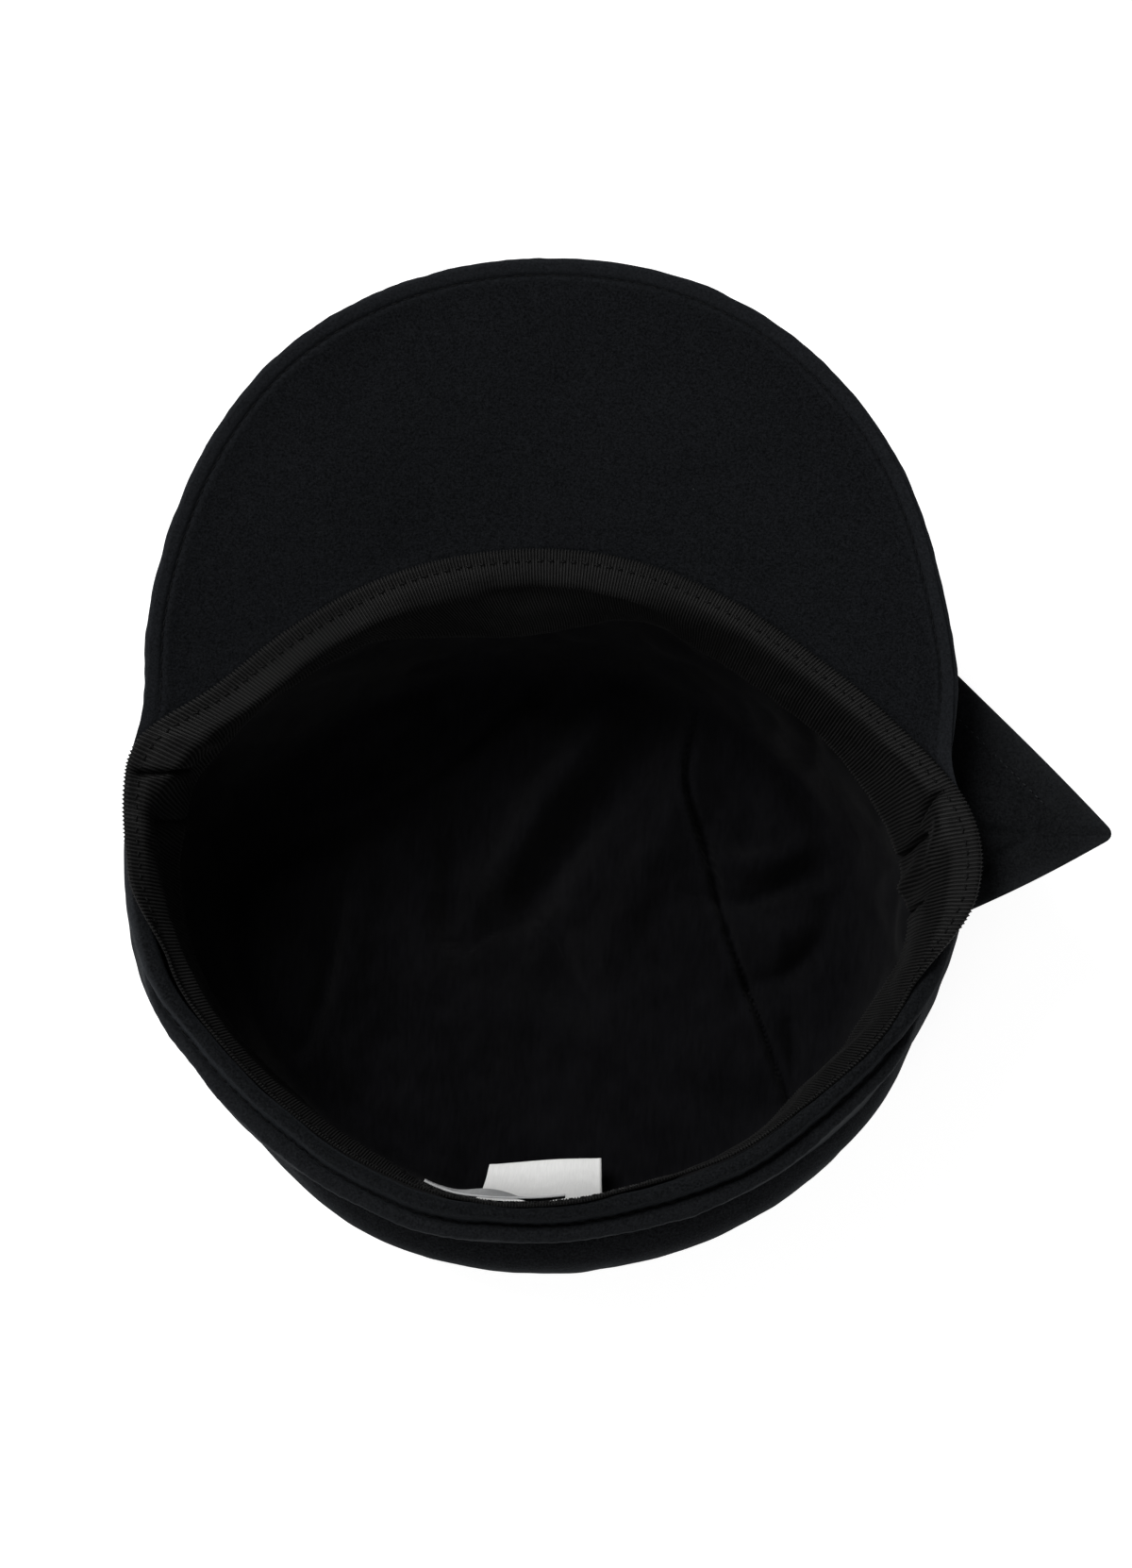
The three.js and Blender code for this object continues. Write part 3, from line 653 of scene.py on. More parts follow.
def headband():
    deg = np.arange(ROUND) * 360 / ROUND
    R, E, zr = col("rim", deg), col("edge", deg) - 0.7 * smooth(226, 240, deg) * (1 - smooth(336, 348, deg)), rim_z(deg)
    zt, low, w = zr - 3.6 * rim_drop(deg), zr - BAND_DEPTH, roll_width(deg)
    b = lambda d: band_outer(deg, d)
    # k blends from the plain roll of the front and sides to the open groove of the back
    k, r = at_back(deg), R + rim_shift(deg)
    g, e = r - 0.9 + 1.3 * bell(deg, 192, 10), R + band_step(deg)
    ro = g - 0.55
    m = 0.5 * (r - w + ro)
    plain = [
        (r - w / 2, zt), (r - 1.5, zt - 0.35), (r - 0.35, zt - 1.5), (r, zt - 3.1), (r - 0.45, zt - 4.9),
        (r - 1.9, zt - 6.2), (r - 3.1, zt - 6.9), (r - 2.2, zt - 7.7), (b(9.4) - 0.7, zr - 9.0 - 0.35 * (zr - zt)),
        (b(11), zr - 11.4), (b(15), zr - 15), (b(19), zr - 19),
    ]
    back = [
        (m, zt), (lerp(m, ro, 0.6), zt - 0.30), (ro - 0.35, zt - 1.25), (ro, zt - 2.6), (ro + 0.05, zt - 3.9),
        (g - 0.15, zt - 5.5), (g + 0.40, zt - 5.4), (g + 0.95, zt - 4.4), (lerp(g, e, 0.56), zt - 4.15),
        (e - 0.45, zt - 4.9), (e + 0.05, zt - 6.8), (b(14), zr - 14),
    ]
    rows = [(lerp(p0, q0, k), lerp(p1, q1, k)) for (p0, p1), (q0, q1) in zip(plain, back)] + [
        (b(23), zr - 23), (b(27), zr - 27),
        (E + 0.1, low + 3.0), (E + 0.25, low + 1.4), (E - 0.25, low + 0.25), (E - 1.3, low - 0.05), (E - 2.4, low + 0.4),
        (E - BAND_WALL, low + 1.8), (b(22) - BAND_WALL, zr - 22), (b(9.6) - BAND_WALL, zr - 11), (r - 4.3, zt - ROLL_GROOVE - 1.0 * k),
        (r - w, zt - 4.0), (r - w + 0.25, zt - 1.7), (r - w + 1.1, zt - 0.5),
    ]
    rz = np.stack([np.stack([r, z + 0 * r], -1) for r, z in rows], 1)
    rz = spline(rz, len(rows) * 4, closed=True)
    p = around(rz, deg)
    # the stitches pull the groove in, and the cloth between them puffs a little
    arc = np.concatenate([[0], np.cumsum(np.linalg.norm(np.diff(p[:, 0], axis=0), axis=1))])
    down = (zt[:, None] - rz[..., 1])
    outside = (rz[..., 0] > (r - 3.4)[:, None])
    puff = np.cos(TAU * arc / 3.6)[:, None] * (0.13 * bell(down, 5.0, 1.6) + 0.10 * bell(down, 8.6, 1.8)) * outside
    soft = waves(11, 34)(p) * 0.16 + waves(12, 11)(p) * 0.07
    wave_band = waves(13, 48)(p) * 0.35 * smooth(9, 16, down) * (1 - smooth(26, 31, down)) * (1 - 0.6 * k)[:, None]
    grow = puff + soft * smooth(-1, 2, down + 1.5) + wave_band
    direction = np.stack([np.cos(np.radians(deg))[:, None] + 0 * grow, np.sin(np.radians(deg))[:, None] + 0 * grow, 0 * grow], -1)
    p = p + direction * grow[..., None]
    p[..., 2] += (waves(14, 40)(p) * 0.10)
    length = arc[-1] + np.linalg.norm(p[0, 0] - p[-1, 0])
    u = np.concatenate([arc, [length]])
    v = np.arange(rz.shape[1] + 1) * 0.8
    # painted highlight on the turned rim, strongest on the left side where the key light falls on it
    painted_highlight = (0.42 * bell(deg, 182, 34) + 0.10)[:, None] * smooth(-2.6, -0.6, rz[..., 0] - r[:, None]) * (1 - smooth(5, 12, down))
    ob = closed_grid("headband_wool", p, True, u, v, WOOL_BAND, painted_highlight)
    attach(ob, "root"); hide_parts("headband")
    # groove stitches
    line = around(np.stack([lerp(r - 2.8, g, k), zt - lerp(6.9, 5.3, k)], -1)[:, None], deg)[:, 0]
    nrm = np.stack([np.cos(np.radians(deg)) * 0.9, np.sin(np.radians(deg)) * 0.9, 0.1 + 0 * deg], -1)
    st = threads("headband_stitches", line, nrm, 3.6, 2.7, 0.24, 0.22, THREAD, closed=True, seed=3)
    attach(st, "root")
    return ob


# ---- crown wall and top --------------------------------------------------------
# Soft creases of the crown wall: angle and height of each end, half width, depth (ridges below zero).
CROWN_CREASES = [
    (291.0, 47.0, 304.0, 60.0, 2.2, 0.75),
    (282.0, 30.0, 291.0, 47.0, 3.2, 0.6),
    (214.0, 52.0, 236.0, 57.0, 2.6, -0.45),
    (212.0, 46.0, 240.0, 50.0, 3.0, 0.45),
    (20.0, 30.0, 48.0, 20.0, 5.0, 1.1),
    (70.0, 36.0, 104.0, 30.0, 6.0, 1.2),
    (128.0, 22.0, 158.0, 34.0, 5.0, 1.1),
    (176.0, 36.0, 200.0, 22.0, 4.5, 1.0),
    (228.0, 24.0, 262.0, 33.0, 5.0, 0.9),
    (318.0, 36.0, 345.0, 22.0, 5.0, 1.1),
]


def crown_side():
    deg = np.arange(ROUND) * 360 / ROUND
    E, B, T = col("edge", deg), col("bulge", deg), col("top", deg)
    h = rim_z(deg) - BAND_DEPTH - GAP
    inner = E - BAND_WALL - GAP - CROWN_WALL / 2
    rows = [
        (inner - 0.3, h + CROWN_TUCK), (inner, h - 0.3), (lerp(inner, B, 0.5), h * 0.91), (B - 0.7 - CROWN_WALL / 2, h * 0.83),
        (B - CROWN_WALL / 2, h * 0.70), (B - 1.6 - CROWN_WALL / 2, h * 0.48), (lerp(T, B, 0.46), h * 0.25), (T - 0.4, h * 0.09), (T - 2.2, 1.45 + 0 * h),
    ]
    mid = np.stack([np.stack([r, z], -1) for r, z in rows], 1)
    mid = even(spline(mid, 120), 74)
    nrm = offset_sides(mid)
    sign = np.sign((nrm[..., 0]).mean())
    nrm *= sign                                       # outward
    a = np.radians(deg)
    centre = around(mid, deg)
    dents = np.zeros(mid.shape[:2])
    z = mid[..., 1]
    for d0, z0, d1, z1, width, depth in CROWN_CREASES:
        r = 92.0
        ang = (deg - d0 + 180) % 360 - 180
        span = ((d1 - d0 + 180) % 360) - 180
        q = np.stack([np.broadcast_to((np.radians(ang) * r)[:, None], z.shape), z], -1)
        dist, along, _ = to_line(q, [(0, z0), (math.radians(span) * r, z1)])
        fade = np.sin(np.clip(along, 0.02, 0.98) * math.pi) ** 0.6
        dents -= depth * fade * np.exp(-2 * (dist / width) ** 2)
    seam = smooth(2.0, 6.5, z)
    pucker = np.cos(TAU * a * 92 / 7.5)[:, None] * 0.16 * bell(z, 4.5, 3.2)
    big = waves(21, 62)(centre) * 0.55 + waves(22, 24)(centre) * 0.22 + waves(23, 9)(centre) * 0.06
    move = (dents + big) * smooth(0, 7, z) * (1 - smooth(h - 4, h + 1, z.T).T) * (0.35 + 0.65 * (1 - bell(z, 36, 10))) + pucker
    mid_moved = mid + nrm * move[..., None]
    outer = mid_moved + nrm * (CROWN_WALL / 2)
    inner_side = mid_moved - nrm * (CROWN_WALL / 2)
    # rounded ends, then the inner side with fewer rows
    end = mid_moved[:, -1:] + (mid_moved[:, -1:] - mid_moved[:, -2:-1]) * 0.9
    start = mid_moved[:, :1] + (mid_moved[:, :1] - mid_moved[:, 1:2]) * 0.9
    pick = np.linspace(0, mid.shape[1] - 1, 22).round().astype(int)
    rz = np.concatenate([start, outer, end, inner_side[:, pick[::-1]]], 1)
    rz[..., 1] = np.maximum(rz[..., 1], 0.25)
    p = around(rz, deg)
    arc = np.concatenate([a * 92, [TAU * 92]])
    v = np.arange(rz.shape[1] + 1) * 0.9
    ob = closed_grid("crown_side_wool", p, True, arc, v, WOOL_CROWN_LIT_COPY)
    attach(ob, "root"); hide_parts("crown_side")
    return ob


def crown_top():
    n = 360
    deg = np.arange(n) * 360 / n
    a = np.radians(deg)
    T = col("top", deg) - 3.2 - CROWN_WALL / 2
    t = np.concatenate([np.linspace(0.02, 0.86, 30), np.linspace(0.88, 0.985, 12)])
    r = T[:, None] * t[None, :]
    soft = waves(31, 26)
    xy = np.stack([r * np.cos(a)[:, None], r * np.sin(a)[:, None], 0 * r], -1)
    under = 0.03 + 0.05 * (1 + soft(xy)) * smooth(0.2, 0.7, t)[None, :] + 0.12 * (1 + np.cos(48 * a))[:, None] * smooth(0.88, 1.0, t)[None, :]
    under[:, :18] = np.minimum(under[:, :18], 0.06)
    top = TOP_THICKNESS + 0.15 * soft(xy * 1.7) - 0.3 * smooth(0.9, 1.0, t)[None, :]
    rim = np.stack([np.stack([T - 0.35, 0.35 + 0 * T], -1), np.stack([T, 1.05 + 0 * T], -1), np.stack([T - 0.3, 1.75 + 0 * T], -1)], 1)
    low = np.concatenate([np.stack([r, under], -1), rim[:, :2]], 1)
    high = np.concatenate([np.stack([r, top], -1), np.stack([T - 0.35, 2.0 + 0 * T], -1)[:, None], rim[:, 2:]], 1)
    ob = two_sided("crown_top_wool", around(low, deg), around(high, deg), True, np.concatenate([a * 80, [TAU * 80]]), np.arange(low.shape[1] * 2 + 1) * 1.8, WOOL_CROWN_LIT_COPY, pole=True)
    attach(ob, "root"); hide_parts("crown_top")
    ring = around(np.stack([T - 2.6, 0.14 + 0 * T], -1)[:, None], deg)[:, 0]
    st = threads("crown_top_stitches", ring, np.tile([0, 0, -1.0], (n, 1)), 3.6, 2.6, 0.2, 0.02, THREAD, closed=True, seed=5)
    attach(st, "root")
    return ob


# ---- sweatband -------------------------------------------------------------------
def sweat_path(deg, n):
    """The ribbon's mid line [r, z], n points, from its sewn edge to its free edge."""
    R, S, zr, f = col("rim", deg), col("sweat", deg), rim_z(deg), over_rim(deg)
    level = smooth(62, 76, deg) * (1 - smooth(178, 190, deg))      # the ribbon lies flat over the rim
    bi = np.maximum(col("bend_in", deg), 6.8) - 2.9 * bell(deg, 173.5, 8)
    left = smooth(116, 132, deg) * (1 - smooth(164, 172, deg))
    bd = np.maximum(col("bend_down", deg), 3.4) * (1 - 0.45 * level - 0.40 * left)
    out, up = flare(deg)
    r, low = R + rim_shift(deg), ribbon_drop(deg)
    crease = smooth(68, 79, deg) * (1 - smooth(96, 111, deg))
    behind = smooth(258, 268, deg) * (1 - smooth(280, 290, deg))
    beside = bell(turn(deg), -22, 14)
    spread = 2.6 * left - 1.1 * smooth(80, 98, deg) * (1 - smooth(112, 130, deg))
    firm = np.maximum(crease, smooth(112, 126, deg) * (1 - smooth(196, 212, deg)))
    bend = R - bi + 0.5 * rim_shift(deg) - 1.2 * bell(turn(deg), -28, 14) + 0.3 * crease
    knee_r, knee_z = lerp(bend, S, 0.16) + 1.7 * crease, zr - lerp(bd, low, 0.16) + 0.7 * crease
    rows = [
        (r - 6.5 + 6.6 * f - 2.1 * bell(deg, 183, 13) + out + 0.9 * behind + 1.6 * beside, zr - 1.8 + 2.6 * f + up + 1.7 * behind + 1.5 * beside),
        (r - 6.6 + 0.9 * f + 0.5 * out, zr - 4.6 + 3.9 * f + 0.8 * up + 0.4 * behind),
        (bend, zr - bd + 0.3 * crease), (knee_r, knee_z),
        (lerp(bend, S + spread, 0.55), zr - lerp(bd, low, 0.55)), (S + spread, zr - low),
    ]
    line = np.stack([np.stack([r, z], -1) for r, z in rows], 1)
    many = 200
    fine = even(line, many)
    step = 0.15
    crisp, loose = blur(fine, 0.40, step), blur(fine, 1.8, step)
    return even(lerp(loose, crisp, firm[:, None, None]), n)


# Slant of the ribs below the front crease: angle, degrees that the free edge runs ahead.
SLANT = np.array([(0, 0), (40, 0.0), (58, 0.4), (72, -1.6), (86, -2.6), (100, -3.2), (114, -3.4), (128, -2.2), (146, -0.6), (165, 0), (360, 0)], float)

# Folds of the ribbon: angle and depth (0 sewn edge, 1 free edge) of each end, half width in mm, height toward the head.
RIBBON_FOLDS = [
    (17.5, 0.16, 15.0, 0.55, 1.3, -2.2),
    (12.5, 0.50, 11.5, 1.00, 1.5, -2.3),
    (13.0, 0.22, 8.5, 0.46, 2.8, 1.8),
    (9.0, 0.60, 6.5, 1.00, 2.8, 1.8),
    (3.2, 0.62, 2.4, 1.00, 1.6, -2.0),
    (167.2, 0.11, 163.2, 0.64, 1.5, -3.0),
    (172.5, 0.40, 170.0, 1.00, 2.2, -1.8),
    (161.0, 0.14, 158.0, 0.60, 3.0, 1.2),
    (173.0, 0.10, 176.0, 0.36, 3.0, 0.8),
]


def ribbon_pull(deg, v):
    """Degrees that the ribs are drawn toward the valleys of the folds."""
    out = np.zeros(np.broadcast_shapes(deg.shape, v.shape))
    for d0, v0, d1, v1, half, height in RIBBON_FOLDS:
        if height > 0:
            continue
        x = (deg - lerp(d0, d1, np.clip((v - v0) / (v1 - v0), 0, 1)) + 180) % 360 - 180
        gate = smooth(v0 - 0.22, v0 + 0.05, v) * (1 - 0.8 * smooth(v1, v1 + 0.25, v))
        out = out - 0.45 * x * np.exp(-2 * (x / 3.4) ** 2) * gate
    return out


def ribbon_fold_height(deg, v):
    out = np.zeros(np.broadcast_shapes(deg.shape, v.shape))
    width = 27.0
    for d0, v0, d1, v1, half, height in RIBBON_FOLDS:
        x = (deg - d0 + 180) % 360 - 180
        q = np.stack(np.broadcast_arrays(np.radians(x) * 96.0, v * width), -1)
        dist, along, _ = to_line(q, [(0, v0 * width), (math.radians(d1 - d0) * 96.0, v1 * width)])
        out = out + height * np.exp(-2 * (dist / half) ** 2) * smooth(0.0, 0.12, v)
    return out


def sweatband():
    n = RIBS * 4
    deg = np.arange(n) * 360 / n
    # rows lie closer at the sewn edge and round the bend
    v = np.array([0, 0.035, 0.07, 0.105, 0.15, 0.20, 0.245, 0.28, 0.31, 0.34, 0.37, 0.40, 0.43, 0.465, 0.51, 0.57, 0.64, 0.71, 0.78, 0.85, 0.91, 0.96, 1.0])
    rows = len(v)
    many = sweat_path(deg, 201)
    at = v * 200
    lo = np.minimum(at.astype(int), 199)
    mid = lerp(many[:, lo], many[:, lo + 1], (at - lo)[None, :, None])
    nrm = offset_sides(mid)
    # the visible face is toward the head, so the normal points to smaller r
    nrm *= -np.sign(nrm[:, rows // 2:, 0].mean())
    slant = np.interp(deg, SLANT[:, 0], SLANT[:, 1])
    angle = deg[:, None] + slant[:, None] * smooth(0.30, 1.0, v)[None, :]
    angle = angle + ribbon_pull(deg[:, None], v[None, :])
    fold = ribbon_fold_height(deg[:, None], v[None, :])
    ripple = waves(41, 30)(around(mid, deg)) * 0.28 * smooth(0.2, 0.7, v)[None, :] + waves(42, 9)(around(mid, deg)) * 0.08 * smooth(0.1, 0.4, v)[None, :]
    middle = mid + nrm * (fold + ripple)[..., None]
    phase = (np.arange(n) % 4) / 4 * TAU
    rib = 0.21 * np.cos(phase)[:, None] * np.ones((1, rows))
    # stitches flatten the ribs in a narrow line near the sewn edge
    width = 27.0
    line = bell(v * width, 2.5, 0.9)[None, :]
    rib = rib * (1 - 0.50 * line)
    face = middle + nrm * (SWEAT_WALL / 2 - 0.15 + rib - 0.42 * line)[..., None]
    back = middle - nrm * (SWEAT_WALL / 2 - 0.05)
    pick = np.array([0, 4, 6, 8, 10, 12, 14, 17, 20, rows - 1])
    # the ends of the ribs stand out from both selvedges as small teeth
    out_dir = mid[:, :1] - mid[:, 1:2]
    out_dir /= np.linalg.norm(out_dir, axis=2, keepdims=True)
    in_dir = mid[:, -1:] - mid[:, -2:-1]
    in_dir /= np.linalg.norm(in_dir, axis=2, keepdims=True)
    tooth = (0.40 * np.cos(phase))[:, None, None]
    lip0 = middle[:, :1] + out_dir * (0.25 + tooth) + nrm[:, :1] * 0.08
    lip1 = middle[:, -1:] + in_dir * (0.2 + tooth * 0.6)
    rz = np.concatenate([lip0, face, lip1, back[:, pick[::-1]]], 1)
    ang = np.concatenate([angle[:, :1], angle, angle[:, -1:], angle[:, pick[::-1]]], 1)
    p = around(rz, ang)
    u = np.concatenate([np.radians(deg) * 92, [TAU * 92]])
    vv = np.concatenate([[-0.6], v * width, [width + 0.6], (v[pick[::-1]] + 1.1) * width, [width * 3]])
    ob = closed_grid("sweatband_ribbon", p, True, u, vv, RIBBON)
    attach(ob, "root"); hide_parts("sweatband")
    # the seam that holds it
    few = np.arange(0, n, 4)
    k = int(np.searchsorted(v, 2.5 / width)) - 1
    share = (2.5 / width - v[k]) / (v[k + 1] - v[k])
    pos = lerp(face[few, k], face[few, k + 1], share)
    nr = nrm[few, k]
    a = np.radians(lerp(angle[few, k], angle[few, k + 1], share))
    path = np.stack([pos[:, 0] * np.cos(a), pos[:, 0] * np.sin(a), pos[:, 1]], -1)
    normal = np.stack([nr[:, 0] * np.cos(a), nr[:, 0] * np.sin(a), nr[:, 1]], -1)
    st = threads("sweatband_stitches", path, normal, 2.9, 1.7, 0.22, 0.24, THREAD_RIBBON, closed=True, seed=7, sway=0.10)
    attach(st, "root")
    return ob


# ---- visor -------------------------------------------------------------------------
def visor():
    nd = 300
    deg = np.linspace(PEAK_FROM, PEAK_TO, nd)
    w, R, z0 = reach(deg) + 0.15, col("rim", deg) + GAP, rim_z(deg)
    tan = math.tan(math.radians(PEAK_PITCH))
    t = PEAK_THICKNESS
    near = np.array([1.5, 1.9, 2.4, 2.9, 3.4, 3.75, 4.0, 4.2, 4.4, 4.6, 4.8, 5.05, 5.4, 5.9, 6.6, 7.6, 8.8, 10.2, 12.0])
    far = np.linspace(0, 1, 34)[1:]
    rows = []
    scale = np.minimum(1, w / 17.0)
    for d in near:
        rows.append(w - d * scale)
    for f in far:
        rows.append(lerp(w - 12.0 * scale, 0 * w, f))
    top_out = np.stack(rows[::-1], 1)                                     # from the rim outward
    outline = np.stack([(R + w) * np.cos(np.radians(deg)), (R + w) * np.sin(np.radians(deg))], -1)
    edge_len = np.concatenate([[0], np.cumsum(np.linalg.norm(np.diff(outline, axis=0), axis=1))])

    def place(out, drop):
        r = R[:, None] + out
        a = np.radians(deg)[:, None]
        return np.stack([r * np.cos(a), r * np.sin(a), z0[:, None] + out * tan - drop], -1)

    def relief(out, side):
        """Height added to a face: pillow between the edge and the topstitching, the groove, and slow waves."""
        flat = place(out, 0 * out)
        dist, along, _ = to_line(flat[..., :2], outline[::2])
        run = along * edge_len[-1]
        hole = 0.5 + 0.5 * np.cos(TAU * run / 3.1)
        groove = -(0.50 + 0.20 * hole) * np.exp(-(np.abs(dist - 4.35) / 0.45) ** 1.6)
        band = 0.34 * np.sqrt(np.clip(1 - ((dist - 2.2) / 2.2) ** 2, 0, 1)) * (dist < 4.4)
        inner = 0.16 * np.exp(-((dist - 5.4) / 0.9) ** 2) + 0.10 * (1 - smooth(5.0, 12.0, dist)) * (dist > 4.4)
        pucker = 0.05 * np.cos(TAU * run / 3.1) * (bell(dist, 3.2, 1.2) + bell(dist, 5.6, 1.4))
        slow = waves(51 + side, 46)(flat) * 0.30 + waves(53 + side, 15)(flat) * 0.07 + waves(55 + side, 5.0)(flat) * 0.02
        return groove + band + inner + pucker + slow * smooth(3, 12, dist), dist, flat

    add, dist, _ = relief(top_out, 0)
    fade = smooth(0, 3, top_out)
    top = place(top_out, 0.05 - add * fade)
    # rounded edge
    arc = np.linspace(math.pi / 2 - 0.35, -math.pi / 2 + 0.35, 11)
    out_e = (w - 0.1 - 2.0 * np.minimum(1, w / 5))[:, None] + 2.0 * np.minimum(1, w / 5)[:, None] * np.cos(arc)[None, :]
    drop_e = t / 2 - (t / 2 + 0.1) * np.sin(arc)[None, :] + 0 * out_e
    wob = waves(57, 12)(place(out_e, drop_e)) * 0.07 + waves(58, 4.5)(place(out_e, drop_e)) * 0.035
    edge = place(out_e + wob, drop_e)
    under_out = top_out[:, ::-1][:, ::1]
    keep = np.concatenate([np.arange(0, 19), np.arange(20, under_out.shape[1], 2), [under_out.shape[1] - 1]])
    under_out = under_out[:, np.unique(keep)]
    add_u, _, _ = relief(under_out, 1)
    under = place(under_out, t - 0.05 + add_u * smooth(0, 3, under_out))
    back = place(np.tile([-0.02, -2.4, -2.9, -2.4], (nd, 1)), np.tile([t * 0.72, t * 0.62, t * 0.45, t * 0.22], (nd, 1)))
    p = np.concatenate([top, edge, under, back], 1)
    if p.shape[1] % 2:
        p = np.concatenate([p, place(np.full((nd, 1), -1.0), np.full((nd, 1), t * 0.12))], 1)
    u = np.concatenate([edge_len, [edge_len[-1] + 1]])
    # painted highlight along the rounded edge, the band inside it and the ridge by the topstitching
    from_edge = to_line(p[..., :2], outline[::2])[0]
    painted_highlight = 0.20 * (1 - smooth(3.6, 4.4, from_edge)) + 0.30 * np.exp(-from_edge / 0.9) + 0.12 * np.exp(-((from_edge - 5.3) / 0.7) ** 2)
    ob = closed_grid("visor_wool", p, False, u, np.arange(p.shape[1] + 1) * 1.2, WOOL_VISOR, painted_highlight)
    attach(ob, "root"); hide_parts("visor")

    # topstitching on both faces, along the line 4.35 mm inside the outline
    def stitch_line(drop_sign, n=900):
        tan_dir = np.gradient(outline, axis=0)
        tan_dir /= np.linalg.norm(tan_dir, axis=1, keepdims=True)
        nin = np.stack([-tan_dir[:, 1], tan_dir[:, 0]], -1)
        centre = np.array([0.0, 20.0])
        nin *= np.sign(((centre - outline) * nin).sum(1))[:, None]
        xy = outline + nin * 4.35
        r, a = np.hypot(xy[:, 0], xy[:, 1]), np.degrees(np.arctan2(xy[:, 1], xy[:, 0]))
        ok = (r - col("rim", a) - GAP) > 1.0
        xy, r, a = xy[ok], r[ok], a[ok]
        out = r - col("rim", a) - GAP
        z = rim_z(a) + out * tan
        z = z - 0.40 if drop_sign > 0 else z - t + 0.40
        return np.column_stack([xy, z])
    for sign, name in ((1, "visor_topstitch"), (-1, "visor_understitch")):
        line = stitch_line(sign)
        nr = np.tile([0.0, -0.3 * sign, 1.0 * sign], (len(line), 1))
        st = threads(name, line, nr, 3.1, 2.45, 0.17, 0.08, THREAD, seed=8 + sign, sink=0.35)
        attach(st, "root")
    return ob


# ---- lining ----------------------------------------------------------------------------
# Folds of the lining's floor. Each is a line of plan points, half width on its left and
# right side (as it runs), height (valleys below zero), and sharpness (1 soft, 0 crisp).
LINING_FOLDS = [
    ([(-2, 75), (-16, 58), (-28, 45), (-40, 36), (-50, 29), (-62, 23), (-76, 18)], 11.0, 4.5, -3.4, 0.35),
    ([(4, 72), (-8, 58), (-20, 46), (-34, 38), (-48, 31), (-62, 27)], 6.0, 7.0, 1.6, 0.9),
    ([(32.5, 75.6), (27, 61), (18, 42), (9, 29), (2, 18), (-5, 8), (-12, 1)], 8.0, 11.0, -2.5, 0.9),
    ([(14, 64), (8, 50), (0, 39), (-6, 28), (-12, 15)], 9.0, 9.0, 3.6, 0.9),
    ([(36, 66), (34, 44), (30, 30), (22, 10), (16, -4)], 8.0, 7.0, 1.6, 1.0),
    ([(35.5, 63), (33, 44), (39, 26), (46, 4), (54, -15), (64.5, -40)], 2.2, 1.6, 1.5, 0.4),
    ([(37.5, 63), (35, 44), (41, 26), (48, 4), (56, -15), (66.5, -40)], 1.4, 3.0, -2.2, 0.3),
    ([(-55, 8), (-56, -4), (-58, -22), (-62, -34)], 3.0, 5.0, -1.9, 0.4),
    ([(-49, 10), (-50, -6), (-53, -24)], 6.0, 5.0, 1.1, 0.9),
    ([(-27, 22), (-26, 8), (-25, -3)], 7.0, 4.5, -1.6, 0.8),
    ([(-33, 8), (-31, -14)], 6.0, 6.0, 0.8, 1.0),
    ([(44, 12), (52, 12), (60, 15), (72, 21)], 6.0, 4.0, -1.7, 0.6),
    ([(46, 22), (56, 22), (66, 27)], 5.5, 5.5, 1.6, 1.0),
    ([(54, -10), (62, -8), (69, -3), (74, 5), (75, 13)], 4.5, 6.0, -1.4, 0.7),
    ([(58, 2), (64, 4)], 7.0, 7.0, 1.6, 1.0),
    ([(66, -20), (67.5, -30), (67, -42)], 2.6, 3.4, -1.6, 0.4),
    ([(40, 34), (42, 30)], 5.0, 5.0, -0.9, 1.0),
    ([(52, 32), (50, 24)], 4.2, 4.6, -0.9, 0.9),
    ([(60, 36), (56, 44)], 6.0, 6.0, 1.2, 1.0),
    ([(56, 54), (66, 44), (72, 34)], 5.0, 5.0, -1.2, 0.8),
    ([(-84, 18), (-83, -7), (-78, -20), (-72, -32)], 5.0, 5.0, -1.4, 0.7),
    ([(-40, -5), (-19, -19), (12, -27), (32, -35), (57, -36)], 11.0, 8.0, 1.2, 1.0),
    ([(6, -8), (14, -22), (26, -32), (40, -38)], 5.0, 7.0, -0.9, 0.9),
    ([(-20, -30), (-4, -44), (20, -52)], 7.0, 9.0, -0.8, 1.0),
    ([(-60, -34), (-46, -50), (-30, -60)], 5.0, 6.0, -1.1, 0.8),
    ([(20, 4), (28, -10), (40, -18)], 7.0, 7.0, 0.7, 1.0),
    ([(-72, 34), (-60, 44), (-46, 54), (-30, 62)], 7.0, 6.0, 1.2, 1.0),
]


def lining_relief(x, y):
    """Height of the floor's folds at plan points, mm."""
    p = np.stack([x, y], -1)
    h = np.zeros(x.shape)
    for line, left, right, height, soft in LINING_FOLDS:
        curve = spline(np.array(line, float), max(12, 6 * len(line))) if len(line) > 2 else np.array(line, float)
        d, along, side = to_line(p, curve)
        w = np.where(side > 0, left, right)
        q = d / w
        crisp = np.exp(-1.9 * (np.sqrt(q * q + 0.02) - 0.141))
        round_ = np.exp(-2 * q * q)
        ends = 0.55 + 0.45 * np.sin(np.clip(along, 0.03, 0.97) * math.pi) ** 0.7
        h += 2.5 * height * lerp(crisp, round_, soft) * ends
    return h


